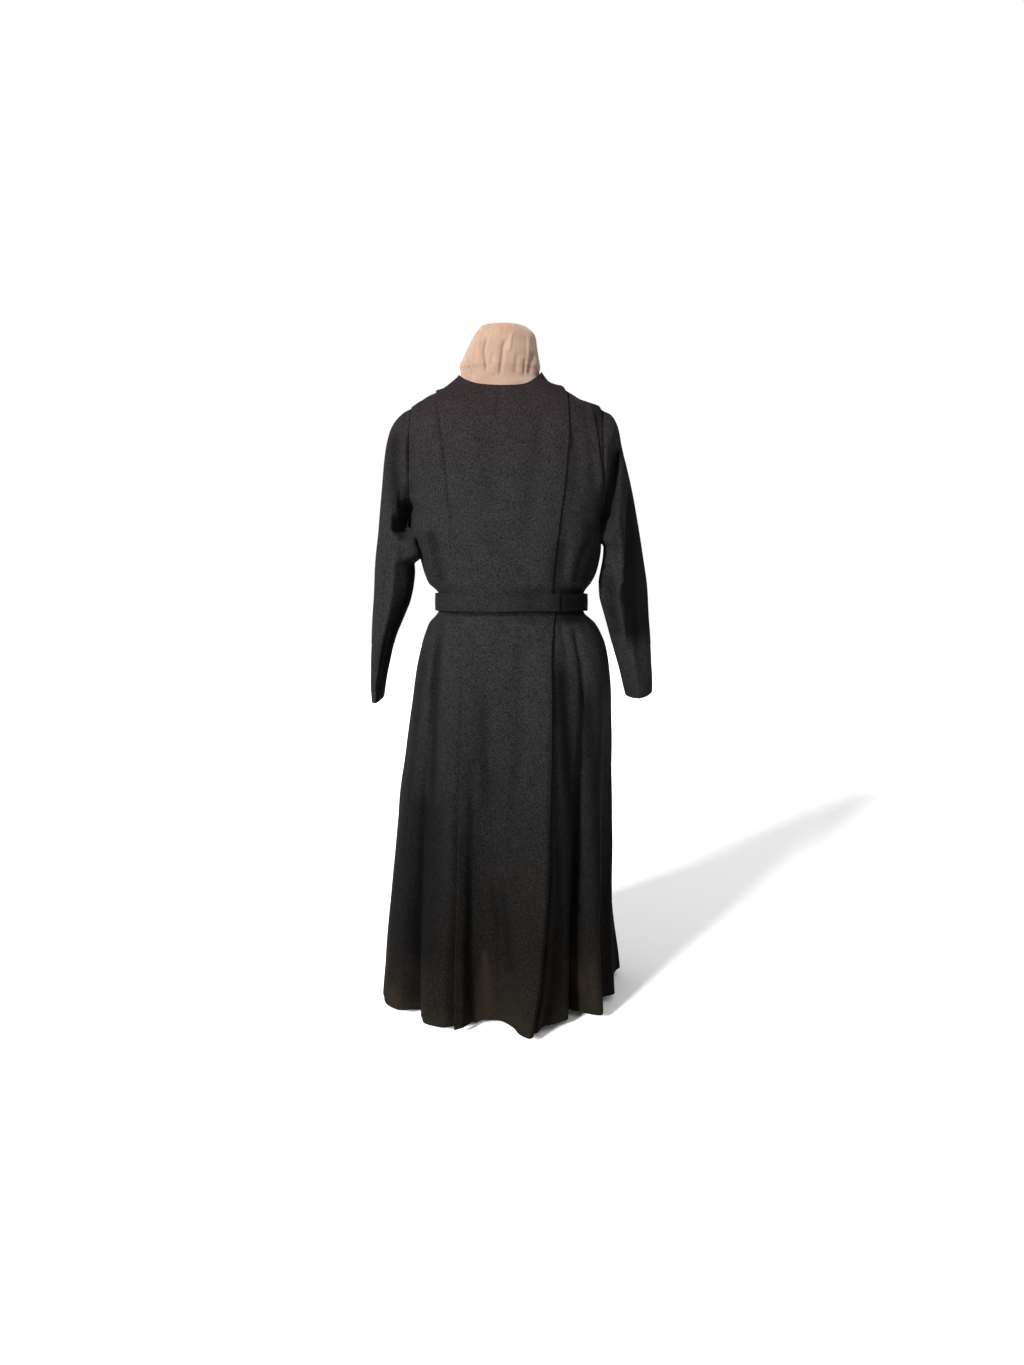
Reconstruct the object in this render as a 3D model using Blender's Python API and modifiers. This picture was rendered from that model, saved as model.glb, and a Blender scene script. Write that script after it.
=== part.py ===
"""A black nun habit, belted and mid-calf long, on a beige covered dress form.

Metres, +Z up, the front faces -Y. The origin is on the floor under the pole. Every piece of cloth
is a thin wall: rows of points follow the garment's outer face and Solidify adds the wall inside.
Angles go round the body from the middle of the front, positive towards +X.
"""
import math
from bisect import bisect_right

import bmesh
import bpy
from mathutils import Vector

COLLECTION = "nun_habit_on_dress_form"

# Cloth, in metres
WALL = 0.0012
SEAM_GAP = 0.0003
SEAM_STRIP = 0.0020
EDGE_STRIP = 0.0060
TURN_RADIUS = 0.0018
PANEL_LIFT = 0.0044
TURN_WIDTH = 0.022
TURN_WIDTH_TOP = 0.008
TURN_NARROWING = 0.12
TURN_DEGREES = (45.0, 90.0, 135.0, 180.0)

# Heights above the floor
HEM_Z = 0.012
WAIST_Z = 0.7645
UNDERARM_Z = 0.930
SHOULDER_TIP_Z = 1.141
NECK_FRONT_Z = 1.172
NECK_LEFT_Z = 1.208
NECK_RIGHT_Z = 1.214

# Armhole, an oval in an upright plane on each side
ARMHOLE_X = 0.186
ARMHOLE_REACH = 0.055

# Belt
BELT_BOTTOM_Z = 0.748
BELT_HEIGHT = 0.033
BELT_WALL = 0.0025
BELT_CLEAR = 0.0007
BELT_INNER_END = 12.0
BELT_RISE_START = 342.0
BELT_RISE_END = 368.0
BELT_OUTER_END = 394.0
BELT_STEPS = 56

# Dress form
FORM_DROP = 0.0030
FORM_TIP_EASE = 0.0065
FORM_TIP_HEIGHT = 0.022
FORM_FRONT_EASE = 0.0045
FORM_COLUMNS = 28
FORM_BOTTOM_Z = 0.500
POLE_RADIUS = 0.0127
BASE_RADIUS = 0.140
BASE_THICKNESS = 0.012
SOCKET_DEPTH_Z = 0.006
BASE_SLOPE = 0.002
BOSS_RADIUS = 0.024
BOSS_TOP_Z = 0.040
BOSS_FLARE = 0.006
EDGE_ROUND = 0.002
FOOT_ROUND = 0.001
ROUND_STEPS = 36
POLE_SEGMENTS = 24

# How square the body's sections are: 2 is an ellipse
RING_POWER = 2.3
HEM_POWER = 2.1

# How finely the pieces are divided
ARMHOLE_ROWS = 9
YOKE_SHARES = (0.0, 0.16, 0.32, 0.45, 0.54, 0.63, 0.81, 1.0)
BACK_COLUMNS = 12
PANEL_STEPS = 3
GROUND_STEPS = 2

SLEEVE_COLUMNS = 2 * ARMHOLE_ROWS
SHARP_ANGLE = 50.0

# Small steps for slopes and for walking along a row
SMALL_TURN = 0.002
SMALL_RISE = 0.001
WALK_STEPS = 8
HALVINGS = 40
EDGE_SEARCH_START = 0.3

# Horizontal sections of the bodice's outer face
BODICE_COLUMNS = ("centre_x", "half_width", "front", "back")
BODICE_RINGS = (
    # z      centre_x  half_width  front   back
    (0.7645, 0.0106, 0.1416, 0.1180, 0.1000),
    (0.7800, 0.0106, 0.1416, 0.1180, 0.1000),
    (0.7860, 0.0100, 0.1445, 0.1192, 0.1015),
    (0.8000, 0.0075, 0.1580, 0.1230, 0.1070),
    (0.8200, 0.0085, 0.1675, 0.1250, 0.1100),
    (0.8500, 0.0080, 0.1754, 0.1255, 0.1130),
    (0.9000, 0.0000, 0.1862, 0.1240, 0.1165),
    (0.9300, 0.0000, 0.1860, 0.1230, 0.1175),
    (1.0000, 0.0000, 0.1860, 0.1200, 0.1185),
    (1.0600, 0.0000, 0.1860, 0.1165, 0.1155),
    (1.1000, 0.0000, 0.1860, 0.1110, 0.1100),
    (1.1410, 0.0000, 0.1860, 0.0990, 0.0985),
    (1.1570, -0.0080, 0.1560, 0.0910, 0.0910),
    (1.1670, -0.0065, 0.1385, 0.0845, 0.0850),
    (1.1770, -0.0055, 0.1203, 0.0775, 0.0785),
    (1.1900, -0.0105, 0.0975, 0.0695, 0.0710),
    (1.2050, -0.0100, 0.0845, 0.0625, 0.0640),
    (1.2140, -0.0108, 0.0797, 0.0595, 0.0615),
)
LOWER_ROWS = (0.7648, 0.7800, 0.7860, 0.8000, 0.8250, 0.8700, 0.9300)

# Where the front panel's long edges run
PANEL_EDGE_COLUMNS = ("left_x", "right_x")
PANEL_EDGES = (
    # z     left_x   right_x
    (0.764, -0.0885, 0.0830),
    (0.800, -0.0885, 0.0845),
    (0.860, -0.0905, 0.0910),
    (0.915, -0.0960, 0.0980),
    (0.975, -0.1035, 0.1060),
    (1.035, -0.1106, 0.1120),
    (1.095, -0.1190, 0.1165),
    (1.150, -0.1275, 0.1150),
    (1.190, -0.1410, 0.1040),
)
PANEL_SHARES = (0.0, 0.03, 0.12, 0.25, 0.38, 0.5, 0.62, 0.75, 0.88, 0.97, 1.0)
SIDE_SHARES = (0.0, 0.05, 0.25, 0.5, 0.75)
RETURN_SHARES = (0.3, 0.65, 1.0)
PANEL_SINK = 0.012
SINK_START = 50.0
SINK_END = 88.0
LIFT_GROWTH = 0.0030
LIFT_GROWTH_HEIGHT = 0.060

# How the skirt opens from the waist to the hem: the share of the flare at the sides and at the
# front and back, the share of the folds' depth, and how far the hips stand to one side
FLARE_COLUMNS = ("side", "front", "fold", "sway")
SKIRT_FLARE = (
    # z      side   front  fold   sway
    (HEM_Z, 1.000, 1.000, 1.000, 0.0000),
    (0.1530, 0.895, 0.830, 0.770, -0.0015),
    (0.2600, 0.835, 0.700, 0.600, 0.0015),
    (0.3700, 0.763, 0.580, 0.440, 0.0035),
    (0.4500, 0.697, 0.480, 0.330, 0.0057),
    (0.5290, 0.633, 0.340, 0.220, 0.0090),
    (0.6110, 0.560, 0.215, 0.120, 0.0115),
    (0.6720, 0.448, 0.120, 0.050, 0.0110),
    (0.7030, 0.334, 0.075, 0.020, 0.0091),
    (0.7230, 0.226, 0.045, 0.000, 0.0057),
    (0.7475, 0.000, 0.000, 0.000, 0.0000),
    (0.7645, 0.000, 0.000, 0.000, 0.0000),
)
# How far the skirt's panel edges, and the cloth beside them, bend sideways between waist and hem
BEND_COLUMNS = ("left", "right")
EDGE_BENDS = (
    # z      left    right
    (HEM_Z, 0.000, 0.000),
    (0.100, 0.002, 0.012),
    (0.200, 0.003, 0.017),
    (0.300, 0.002, 0.0145),
    (0.440, 0.001, 0.008),
    (0.590, -0.002, -0.005),
    (0.685, -0.003, -0.011),
    (0.7475, 0.000, 0.000),
)
BEND_LEFT = (-52.0, -44.0, -36.0, -18.0)
BEND_RIGHT = (8.0, 25.0, 34.0, 48.0)
HEM_RING = {"centre_x": -0.002, "half_width": 0.234, "front": 0.212, "back": 0.212}

# Fold by fold round the skirt: the angle at the waist and the hem's place on plan
PANEL_FOLDS = (
    # waist  hem_x    hem_y
    (-39.8, -0.0903, -0.2178),
    (-34.1, -0.0763, -0.2090),
    (-24.0, -0.0629, -0.1820),
    (-14.0, -0.0343, -0.1730),
    (-6.0, -0.0132, -0.1760),
    (5.0, 0.0080, -0.2000),
    (19.0, 0.0252, -0.2396),
    (27.0, 0.0416, -0.2567),
    (30.7, 0.0470, -0.2480),
)
GROUND_FOLDS = (
    # waist  hem_x    hem_y
    (20.0, 0.0290, -0.2180),
    (30.7, 0.0525, -0.2330),
    (38.0, 0.0677, -0.2000),
    (43.0, 0.0856, -0.1910),
    (49.5, 0.1095, -0.1730),
    (54.0, 0.1105, -0.1200),
    (60.0, 0.1190, -0.1240),
    (67.0, 0.1416, -0.1370),
    (73.0, 0.1590, -0.1485),
    (78.5, 0.1755, -0.1485),
    (83.0, 0.1720, -0.0750),
    (88.0, 0.1860, -0.0593),
    (94.0, 0.2085, -0.0420),
    (102.0, 0.2080, 0.0250),
    (110.0, 0.2240, 0.0850),
    (117.0, 0.2315, 0.1080),
    (125.0, 0.1980, 0.1240),
    (132.0, 0.1850, 0.1750),
    (140.0, 0.1350, 0.1660),
    (149.0, 0.1050, 0.2230),
    (160.0, 0.0560, 0.1880),
    (170.0, 0.0280, 0.2320),
    (181.0, -0.0080, 0.2360),
    (191.0, -0.0420, 0.1900),
    (203.0, -0.0850, 0.2280),
    (213.0, -0.1180, 0.1900),
    (222.0, -0.1500, 0.1970),
    (231.0, -0.1880, 0.1560),
    (240.0, -0.1950, 0.1180),
    (250.0, -0.2300, 0.0960),
    (258.0, -0.2220, 0.0400),
    (266.0, -0.2365, -0.0180),
    (272.0, -0.2330, -0.0620),
    (279.0, -0.2230, -0.0990),
    (286.0, -0.1990, -0.1260),
    (292.0, -0.1760, -0.1240),
    (299.0, -0.1580, -0.1140),
    (307.0, -0.1545, -0.1600),
    (313.0, -0.1433, -0.1910),
    (317.0, -0.1159, -0.2080),
    (320.2, -0.0930, -0.2000),
    (331.0, -0.0730, -0.1860),
)
RIGHT_SEAM = 94.0
LEFT_SEAM = 266.0

# Sections of each sleeve from the armhole to the cuff: its outermost and innermost points seen from
# the front (x away from the middle), half of its depth, its middle's y, and how far its back edge
# stands above its front edge
SLEEVE_RIGHT = (
    # outer_x outer_z inner_x inner_z depth   middle_y lean
    (0.1863, 1.1410, 0.1863, 0.9300, 0.0550, 0.0000, 0.000),
    (0.2055, 1.1300, 0.1888, 0.9120, 0.0585, 0.0010, 0.000),
    (0.2185, 1.1080, 0.1902, 0.8950, 0.0605, 0.0020, 0.000),
    (0.2294, 1.0600, 0.1905, 0.8780, 0.0610, 0.0020, 0.000),
    (0.2430, 1.0030, 0.1898, 0.8600, 0.0600, 0.0010, 0.000),
    (0.2520, 0.9550, 0.1878, 0.8430, 0.0585, 0.0000, 0.000),
    (0.2600, 0.9030, 0.1845, 0.8250, 0.0570, -0.0020, 0.000),
    (0.2675, 0.8500, 0.1812, 0.8030, 0.0560, -0.0040, 0.000),
    (0.2740, 0.7950, 0.1820, 0.7780, 0.0545, -0.0060, 0.001),
    (0.2780, 0.7400, 0.1900, 0.7430, 0.0530, -0.0090, 0.002),
    (0.2810, 0.6900, 0.2035, 0.6970, 0.0500, -0.0120, 0.003),
    (0.2830, 0.6450, 0.2155, 0.6500, 0.0460, -0.0150, 0.005),
    (0.2840, 0.6150, 0.2245, 0.6130, 0.0435, -0.0170, 0.007),
    (0.2840, 0.5930, 0.2315, 0.5850, 0.0420, -0.0180, 0.008),
)
SLEEVE_LEFT = (
    # outer_x outer_z inner_x inner_z depth   middle_y lean
    (0.1863, 1.1410, 0.1863, 0.9300, 0.0550, 0.0000, 0.000),
    (0.2060, 1.1300, 0.1888, 0.9120, 0.0585, 0.0010, 0.000),
    (0.2215, 1.1110, 0.1902, 0.8960, 0.0605, 0.0020, 0.000),
    (0.2340, 1.0760, 0.1900, 0.8820, 0.0610, 0.0020, 0.000),
    (0.2405, 1.0200, 0.1868, 0.8660, 0.0600, 0.0010, 0.000),
    (0.2455, 0.9600, 0.1815, 0.8500, 0.0590, 0.0000, 0.000),
    (0.2490, 0.9030, 0.1790, 0.8260, 0.0580, -0.0020, 0.000),
    (0.2535, 0.8500, 0.1815, 0.8000, 0.0575, -0.0040, 0.000),
    (0.2570, 0.7950, 0.1870, 0.7700, 0.0570, -0.0060, 0.001),
    (0.2595, 0.7400, 0.1990, 0.7370, 0.0560, -0.0090, 0.002),
    (0.2612, 0.6900, 0.2170, 0.6900, 0.0545, -0.0120, 0.003),
    (0.2625, 0.6450, 0.2275, 0.6450, 0.0535, -0.0150, 0.004),
    (0.2630, 0.6110, 0.2345, 0.6090, 0.0530, -0.0170, 0.005),
    (0.2605, 0.5750, 0.2385, 0.5800, 0.0520, -0.0180, 0.005),
)

# Sections of the dress form below the shoulders, and of its neck above them
FORM_LOWER = (
    # z     centre_x half_width front  back
    (0.500, 0.004, 0.132, 0.094, 0.092),
    (0.507, 0.004, 0.143, 0.103, 0.101),
    (0.530, 0.004, 0.151, 0.109, 0.107),
    (0.590, 0.006, 0.155, 0.113, 0.111),
    (0.660, 0.008, 0.149, 0.109, 0.104),
    (0.720, 0.010, 0.133, 0.101, 0.090),
    (0.765, 0.0106, 0.126, 0.096, 0.083),
    (0.810, 0.010, 0.131, 0.098, 0.086),
    (0.870, 0.005, 0.143, 0.103, 0.095),
    (0.940, 0.000, 0.152, 0.107, 0.103),
    (1.010, 0.000, 0.157, 0.107, 0.106),
    (1.060, 0.000, 0.161, 0.104, 0.104),
    (1.100, 0.000, 0.167, 0.098, 0.098),
    (1.122, 0.000, 0.173, 0.092, 0.092),
    (1.133, 0.000, 0.178, 0.089, 0.089),
)
FORM_SHOULDER_ROWS = (1.1420, 1.1500, 1.1580, 1.1680, 1.1780, 1.1870)
FORM_NECK = (
    # z     centre_x half_width front  back
    (1.1960, -0.0135, 0.0850, 0.0570, 0.0585),
    (1.2060, -0.0115, 0.0775, 0.0550, 0.0560),
    (1.2150, -0.0118, 0.0770, 0.0550, 0.0560),
    (1.2230, -0.0120, 0.0790, 0.0560, 0.0565),
    (1.2450, -0.0090, 0.0725, 0.0540, 0.0540),
    (1.2650, -0.0060, 0.0665, 0.0500, 0.0500),
    (1.2850, -0.0028, 0.0595, 0.0455, 0.0455),
    (1.2980, -0.0030, 0.0490, 0.0390, 0.0390),
    (1.3070, -0.0070, 0.0355, 0.0280, 0.0280),
)


class Curve:
    """A smooth curve through a table's column that never overshoots its knots."""

    def __init__(self, knots, values):
        self.knots = list(knots)
        self.values = list(values)
        steps = [b - a for a, b in zip(self.knots, self.knots[1:])]
        rises = [(b - a) / step for a, b, step in zip(self.values, self.values[1:], steps)]
        slopes = [rises[0]]
        for before, after, step, next_step in zip(rises, rises[1:], steps, steps[1:]):
            if before * after <= 0.0:
                slopes.append(0.0)
                continue
            near = 2.0 * next_step + step
            far = next_step + 2.0 * step
            slopes.append((near + far) / (near / before + far / after))
        slopes.append(rises[-1])
        self.slopes = slopes

    def __call__(self, place):
        if place <= self.knots[0]:
            return self.values[0]
        if place >= self.knots[-1]:
            return self.values[-1]
        i = bisect_right(self.knots, place) - 1
        step = self.knots[i + 1] - self.knots[i]
        t = (place - self.knots[i]) / step
        return (
            self.values[i] * (1.0 + 2.0 * t) * (1.0 - t) ** 2
            + self.slopes[i] * step * t * (1.0 - t) ** 2
            + self.values[i + 1] * t * t * (3.0 - 2.0 * t)
            - self.slopes[i + 1] * step * t * t * (1.0 - t)
        )


def curves(table, names):
    """One curve for each named column, along the table's first column."""
    columns = list(zip(*table))
    return {name: Curve(columns[0], column) for name, column in zip(names, columns[1:])}


SKIRT_ROWS = [row[0] for row in SKIRT_FLARE]
BODICE = curves(BODICE_RINGS, BODICE_COLUMNS)
FLARE = curves(SKIRT_FLARE, FLARE_COLUMNS)
EDGE = curves(PANEL_EDGES, PANEL_EDGE_COLUMNS)
BEND = curves(EDGE_BENDS, BEND_COLUMNS)


def smooth_step(share):
    share = min(max(share, 0.0), 1.0)
    return share * share * (3.0 - 2.0 * share)


def signed_power(value, power):
    return math.copysign(abs(value) ** power, value)


def ring_point(centre_x, half_width, depth, angle, power):
    """The point of a squarish oval at an angle from the middle of the front."""
    x = centre_x + half_width * signed_power(math.sin(angle), 2.0 / power)
    y = -depth * signed_power(math.cos(angle), 2.0 / power)
    return x, y


def armhole_reach(z):
    """How far in front of or behind its middle the armhole's edge is at this height."""
    middle = (UNDERARM_Z + SHOULDER_TIP_Z) / 2.0
    half_height = (SHOULDER_TIP_Z - UNDERARM_Z) / 2.0
    share = (z - middle) / half_height
    if abs(share) >= 1.0:
        return 0.0
    return ARMHOLE_REACH * math.sqrt(1.0 - share * share)


def bodice_section(z, faces_front):
    """The section's middle, half width and depth; beside the armhole it runs on past the edge."""
    centre_x = BODICE["centre_x"](z)
    half_width = BODICE["half_width"](z)
    depth = BODICE["front" if faces_front else "back"](z)
    reach = armhole_reach(z)
    if reach > 0.0:
        half_width = ARMHOLE_X / (1.0 - (reach / depth) ** RING_POWER) ** (1.0 / RING_POWER)
    return centre_x, half_width, depth


def bodice_base(angle, z):
    centre_x, half_width, depth = bodice_section(z, math.cos(angle) >= 0.0)
    x, y = ring_point(centre_x, half_width, depth, angle, RING_POWER)
    return Vector((x, y, z))


def base_normal(angle, z):
    """The bodice's outward direction, from its slopes round and up."""
    before = angle - SMALL_TURN
    if math.cos(angle) < 0.0 < math.sin(angle):
        before = max(before, math.pi / 2.0)
    around = bodice_base(angle + SMALL_TURN, z) - bodice_base(before, z)
    upward = bodice_base(angle, z + SMALL_RISE) - bodice_base(angle, z - SMALL_RISE)
    return around.cross(upward).normalized()


def angle_at_armhole(z, faces_front, side):
    """The angle at which the section meets the armhole's plane."""
    centre_x, half_width, _ = bodice_section(z, faces_front)
    share = min(1.0, abs(side * ARMHOLE_X - centre_x) / half_width)
    angle = math.asin(share ** (RING_POWER / 2.0))
    return side * (angle if faces_front else math.pi - angle)


def angle_near_side(z, gap, faces_front, side):
    """The angle at which the section is a small distance short of the side line."""
    _, _, depth = bodice_section(z, faces_front)
    short = math.asin((gap / depth) ** (RING_POWER / 2.0))
    quarter = math.pi / 2.0
    return side * (quarter - short if faces_front else quarter + short)


def neck_height(angle):
    """The neckline's height: low in the middle of the front, nearly level behind."""
    share = signed_power(math.sin(angle), 2.0 / RING_POWER)
    tip = NECK_RIGHT_Z if share > 0.0 else NECK_LEFT_Z
    if math.cos(angle) > 0.0:
        return NECK_FRONT_Z + (tip - NECK_FRONT_Z) * share * share
    middle = (NECK_RIGHT_Z + NECK_LEFT_Z) / 2.0
    return middle + (tip - middle) * abs(share)


class Row:
    """One row of the bodice: level up to the shoulder tips, then rising towards the neckline."""

    def __init__(self, z=None, share=None):
        self.z = z
        self.share = share

    def height(self, angle):
        if self.share is None:
            return self.z
        return SHOULDER_TIP_Z + self.share * (neck_height(angle) - SHOULDER_TIP_Z)

    def point(self, angle, out=0.0):
        z = self.height(angle)
        return bodice_base(angle, z) + base_normal(angle, z) * out

    def step(self, angle, distance):
        """The angle that lies a distance further along the row."""
        for _ in range(WALK_STEPS):
            span = self.point(angle + SMALL_TURN) - self.point(angle - SMALL_TURN)
            angle += distance / WALK_STEPS / (span.length / (2.0 * SMALL_TURN))
        return angle

    def side_end(self, faces_front, side, gap):
        """Where a piece stops: at the armhole, or a gap short of the side or shoulder line."""
        z = self.height(side * math.pi / 2.0)
        if armhole_reach(z) > 0.0 and self.share is None:
            return angle_at_armhole(z, faces_front, side)
        return angle_near_side(z, gap, faces_front, side)

    def edge(self, side):
        """The front panel's edge on this row, or None where the row has passed it at the seam."""
        column = EDGE["right_x" if side > 0 else "left_x"]
        low = EDGE_SEARCH_START
        high = abs(self.side_end(True, side, SEAM_GAP / 2.0))
        excess = side * (self.point(side * high).x - column(self.height(side * high)))
        if excess <= 0.0:
            return None
        for _ in range(HALVINGS):
            middle = (low + high) / 2.0
            point = self.point(side * middle)
            if side * (point.x - column(point.z)) > 0.0:
                high = middle
            else:
                low = middle
        return side * low


def bodice_rows():
    """Rows from the waist seam to the neckline, shared by front and back."""
    rows = [Row(z=z) for z in LOWER_ROWS]
    middle = (UNDERARM_Z + SHOULDER_TIP_Z) / 2.0
    half_height = (SHOULDER_TIP_Z - UNDERARM_Z) / 2.0
    for i in range(1, ARMHOLE_ROWS):
        rows.append(Row(z=middle - half_height * math.cos(math.pi * i / ARMHOLE_ROWS)))
    rows += [Row(share=share) for share in YOKE_SHARES]
    return rows


def material(name, colour, roughness, metallic=0.0):
    made = bpy.data.materials.get(name)
    if made:
        return made
    made = bpy.data.materials.new(name)
    made.use_nodes = True
    shader = made.node_tree.nodes["Principled BSDF"]
    shader.inputs["Base Color"].default_value = (*colour, 1.0)
    shader.inputs["Roughness"].default_value = roughness
    shader.inputs["Metallic"].default_value = metallic
    return made


def black_crepe():
    return material("black_crepe", (0.032, 0.031, 0.031), 0.85)


def belt_crepe():
    return material("belt_crepe", (0.027, 0.027, 0.027), 0.8)


def beige_cover():
    return material("beige_cover", (0.70, 0.56, 0.44), 0.8)


def steel():
    return material("painted_steel", (0.05, 0.05, 0.05), 0.45, 0.6)


def finish(bm, name, made_of):
    mesh = bpy.data.meshes.new(name)
    bm.to_mesh(mesh)
    bm.free()
    mesh.materials.append(made_of)
    mesh.shade_smooth()
    mesh.set_sharp_from_angle(angle=math.radians(SHARP_ANGLE))
    made = bpy.data.objects.new(name, mesh)
    bpy.data.collections[COLLECTION].objects.link(made)
    return made


def grid(rows, closed=False, turn_over=False):
    """A mesh through rows of points, bottom row first; None leaves a place empty."""
    bm = bmesh.new()
    verts = [[bm.verts.new(point) if point else None for point in row] for row in rows]
    columns = len(rows[0])
    spans = columns if closed else columns - 1
    for lower, upper in zip(verts, verts[1:]):
        for i in range(spans):
            j = (i + 1) % columns
            corners = [lower[i], lower[j], upper[j], upper[i]]
            if None in corners:
                continue
            bm.faces.new(corners[::-1] if turn_over else corners)
    for lone in [vert for vert in bm.verts if not vert.link_faces]:
        bm.verts.remove(lone)
    return bm


def cloth(name, rows, closed=False, turn_over=False, wall=WALL, made_of=None):
    """A cloth piece: its outer face through the rows, and the wall inside it."""
    bm = grid(rows, closed, turn_over)
    made = finish(bm, name, made_of or black_crepe())
    solidify = made.modifiers.new("wall", "SOLIDIFY")
    solidify.thickness = wall
    solidify.offset = -1.0
    solidify.use_even_offset = True
    return made


def turned_edge(point_at, normal_at, step_to, angle, outward, side, width):
    """The fold at a panel's edge and the strip turned under it, from the edge inwards.

    The fold is half a circle round a line one turn radius inside the cloth's face, and the strip
    is the panel's own points moved in by the fold's height.
    """
    edge = point_at(angle)
    normal = normal_at(angle)
    centre = edge - normal * TURN_RADIUS
    points = []
    for degrees in TURN_DEGREES:
        turn = math.radians(degrees)
        points.append(centre + (normal * math.cos(turn) + outward * math.sin(turn)) * TURN_RADIUS)
    for share in RETURN_SHARES:
        inner = step_to(angle, -side * width * share)
        points.append(point_at(inner) - normal_at(inner) * 2.0 * TURN_RADIUS)
    return points


def turn_width(row, angle):
    """How much is turned under: narrower over the shoulder."""
    room = smooth_step((SHOULDER_TIP_Z - row.height(angle)) / TURN_NARROWING)
    return TURN_WIDTH_TOP + (TURN_WIDTH - TURN_WIDTH_TOP) * room


def edge_outward(rows, edges, i):
    """Away from the panel at its edge: square to the edge's own run and to the cloth."""
    last = max(k for k, angle in enumerate(edges) if angle is not None)
    before = max(i - 1, 0)
    after = min(i + 1, last)
    run = rows[after].point(edges[after]) - rows[before].point(edges[before])
    normal = base_normal(edges[i], rows[i].height(edges[i]))
    side = 1.0 if edges[i] > 0.0 else -1.0
    return run.cross(normal).normalized() * side


def panel_rows(rows):
    """The front panel row by row: turned edge, panel, turned edge."""
    edges = {side: [row.edge(side) for row in rows] for side in (-1, 1)}
    made = []
    for i, row in enumerate(rows):
        ends = {}
        turned = {}
        for side in (-1, 1):
            angle = edges[side][i]
            if angle is None:
                ends[side] = row.side_end(True, side, SEAM_GAP / 2.0)
                turned[side] = [None] * (len(TURN_DEGREES) + len(RETURN_SHARES))
                continue
            ends[side] = angle
            turned[side] = turned_edge(
                lambda a: row.point(a, PANEL_LIFT),
                lambda a: base_normal(a, row.height(a)),
                row.step,
                angle,
                edge_outward(rows, edges[side], i),
                side,
                turn_width(row, angle),
            )
        middle = []
        for share in PANEL_SHARES:
            angle = ends[-1] + (ends[1] - ends[-1]) * share
            past_edge = edges[1 if angle > 0.0 else -1][i] is None
            middle.append(row.point(angle, panel_lift(row, angle, past_edge)))
        made.append(turned[-1][::-1] + middle + turned[1])
    return made


def panel_lift(row, angle, past_edge):
    """The panel stands proud of the sides, and sinks to the shoulder seam near the neck."""
    side = 1 if angle > 0.0 else -1
    if not past_edge:
        return PANEL_LIFT
    degrees = abs(math.degrees(angle))
    near = smooth_step((degrees - SINK_START) / (SINK_END - SINK_START))
    seam_z = row.height(side * math.pi / 2.0)
    passed = seam_z - seam_meeting(side)
    return PANEL_LIFT * (1.0 - near * smooth_step(passed / PANEL_SINK))


def seam_meeting(side):
    """The height at which the panel's edge meets the shoulder seam."""
    column = EDGE["right_x" if side > 0 else "left_x"]
    low = SHOULDER_TIP_Z
    high = NECK_LEFT_Z
    for _ in range(HALVINGS):
        middle = (low + high) / 2.0
        centre_x, half_width, _ = bodice_section(middle, True)
        if side * centre_x + half_width > side * column(middle):
            low = middle
        else:
            high = middle
    return low


def side_row(row, side):
    """A front side piece on one row, from under the panel out to the armhole or side line."""
    edge = row.edge(side)
    if edge is None:
        return None
    width = turn_width(row, edge)
    end = row.side_end(True, side, SEAM_GAP / 2.0)
    strip = row.step(end, -side * SEAM_STRIP)
    nearest = row.step(end, -side * EDGE_STRIP)
    edge = side * min(abs(edge), abs(nearest))
    under = [row.step(edge, -side * width * share) for share in (1.0, 0.5)]
    seen = [edge + (strip - edge) * share for share in SIDE_SHARES]
    angles = under + seen + [strip, end]
    points = [row.point(angle) for angle in angles]
    return points if side > 0 else points[::-1]


def build_bodice_front():
    rows = bodice_rows()
    cloth("bodice_front_panel", panel_rows(rows))
    for side, name in ((-1, "bodice_front_left"), (1, "bodice_front_right")):
        made = [side_row(row, side) for row in rows]
        cloth(name, [points for points in made if points])


def build_bodice_back():
    rows = []
    for row in bodice_rows():
        start = row.side_end(False, 1, SEAM_GAP / 2.0)
        end = 2.0 * math.pi + row.side_end(False, -1, SEAM_GAP / 2.0)
        first = row.step(start, SEAM_STRIP)
        last = row.step(end, -SEAM_STRIP)
        between = [first + (last - first) * i / BACK_COLUMNS for i in range(BACK_COLUMNS + 1)]
        rows.append([row.point(angle) for angle in [start] + between + [end]])
    cloth("bodice_back", rows)


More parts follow.
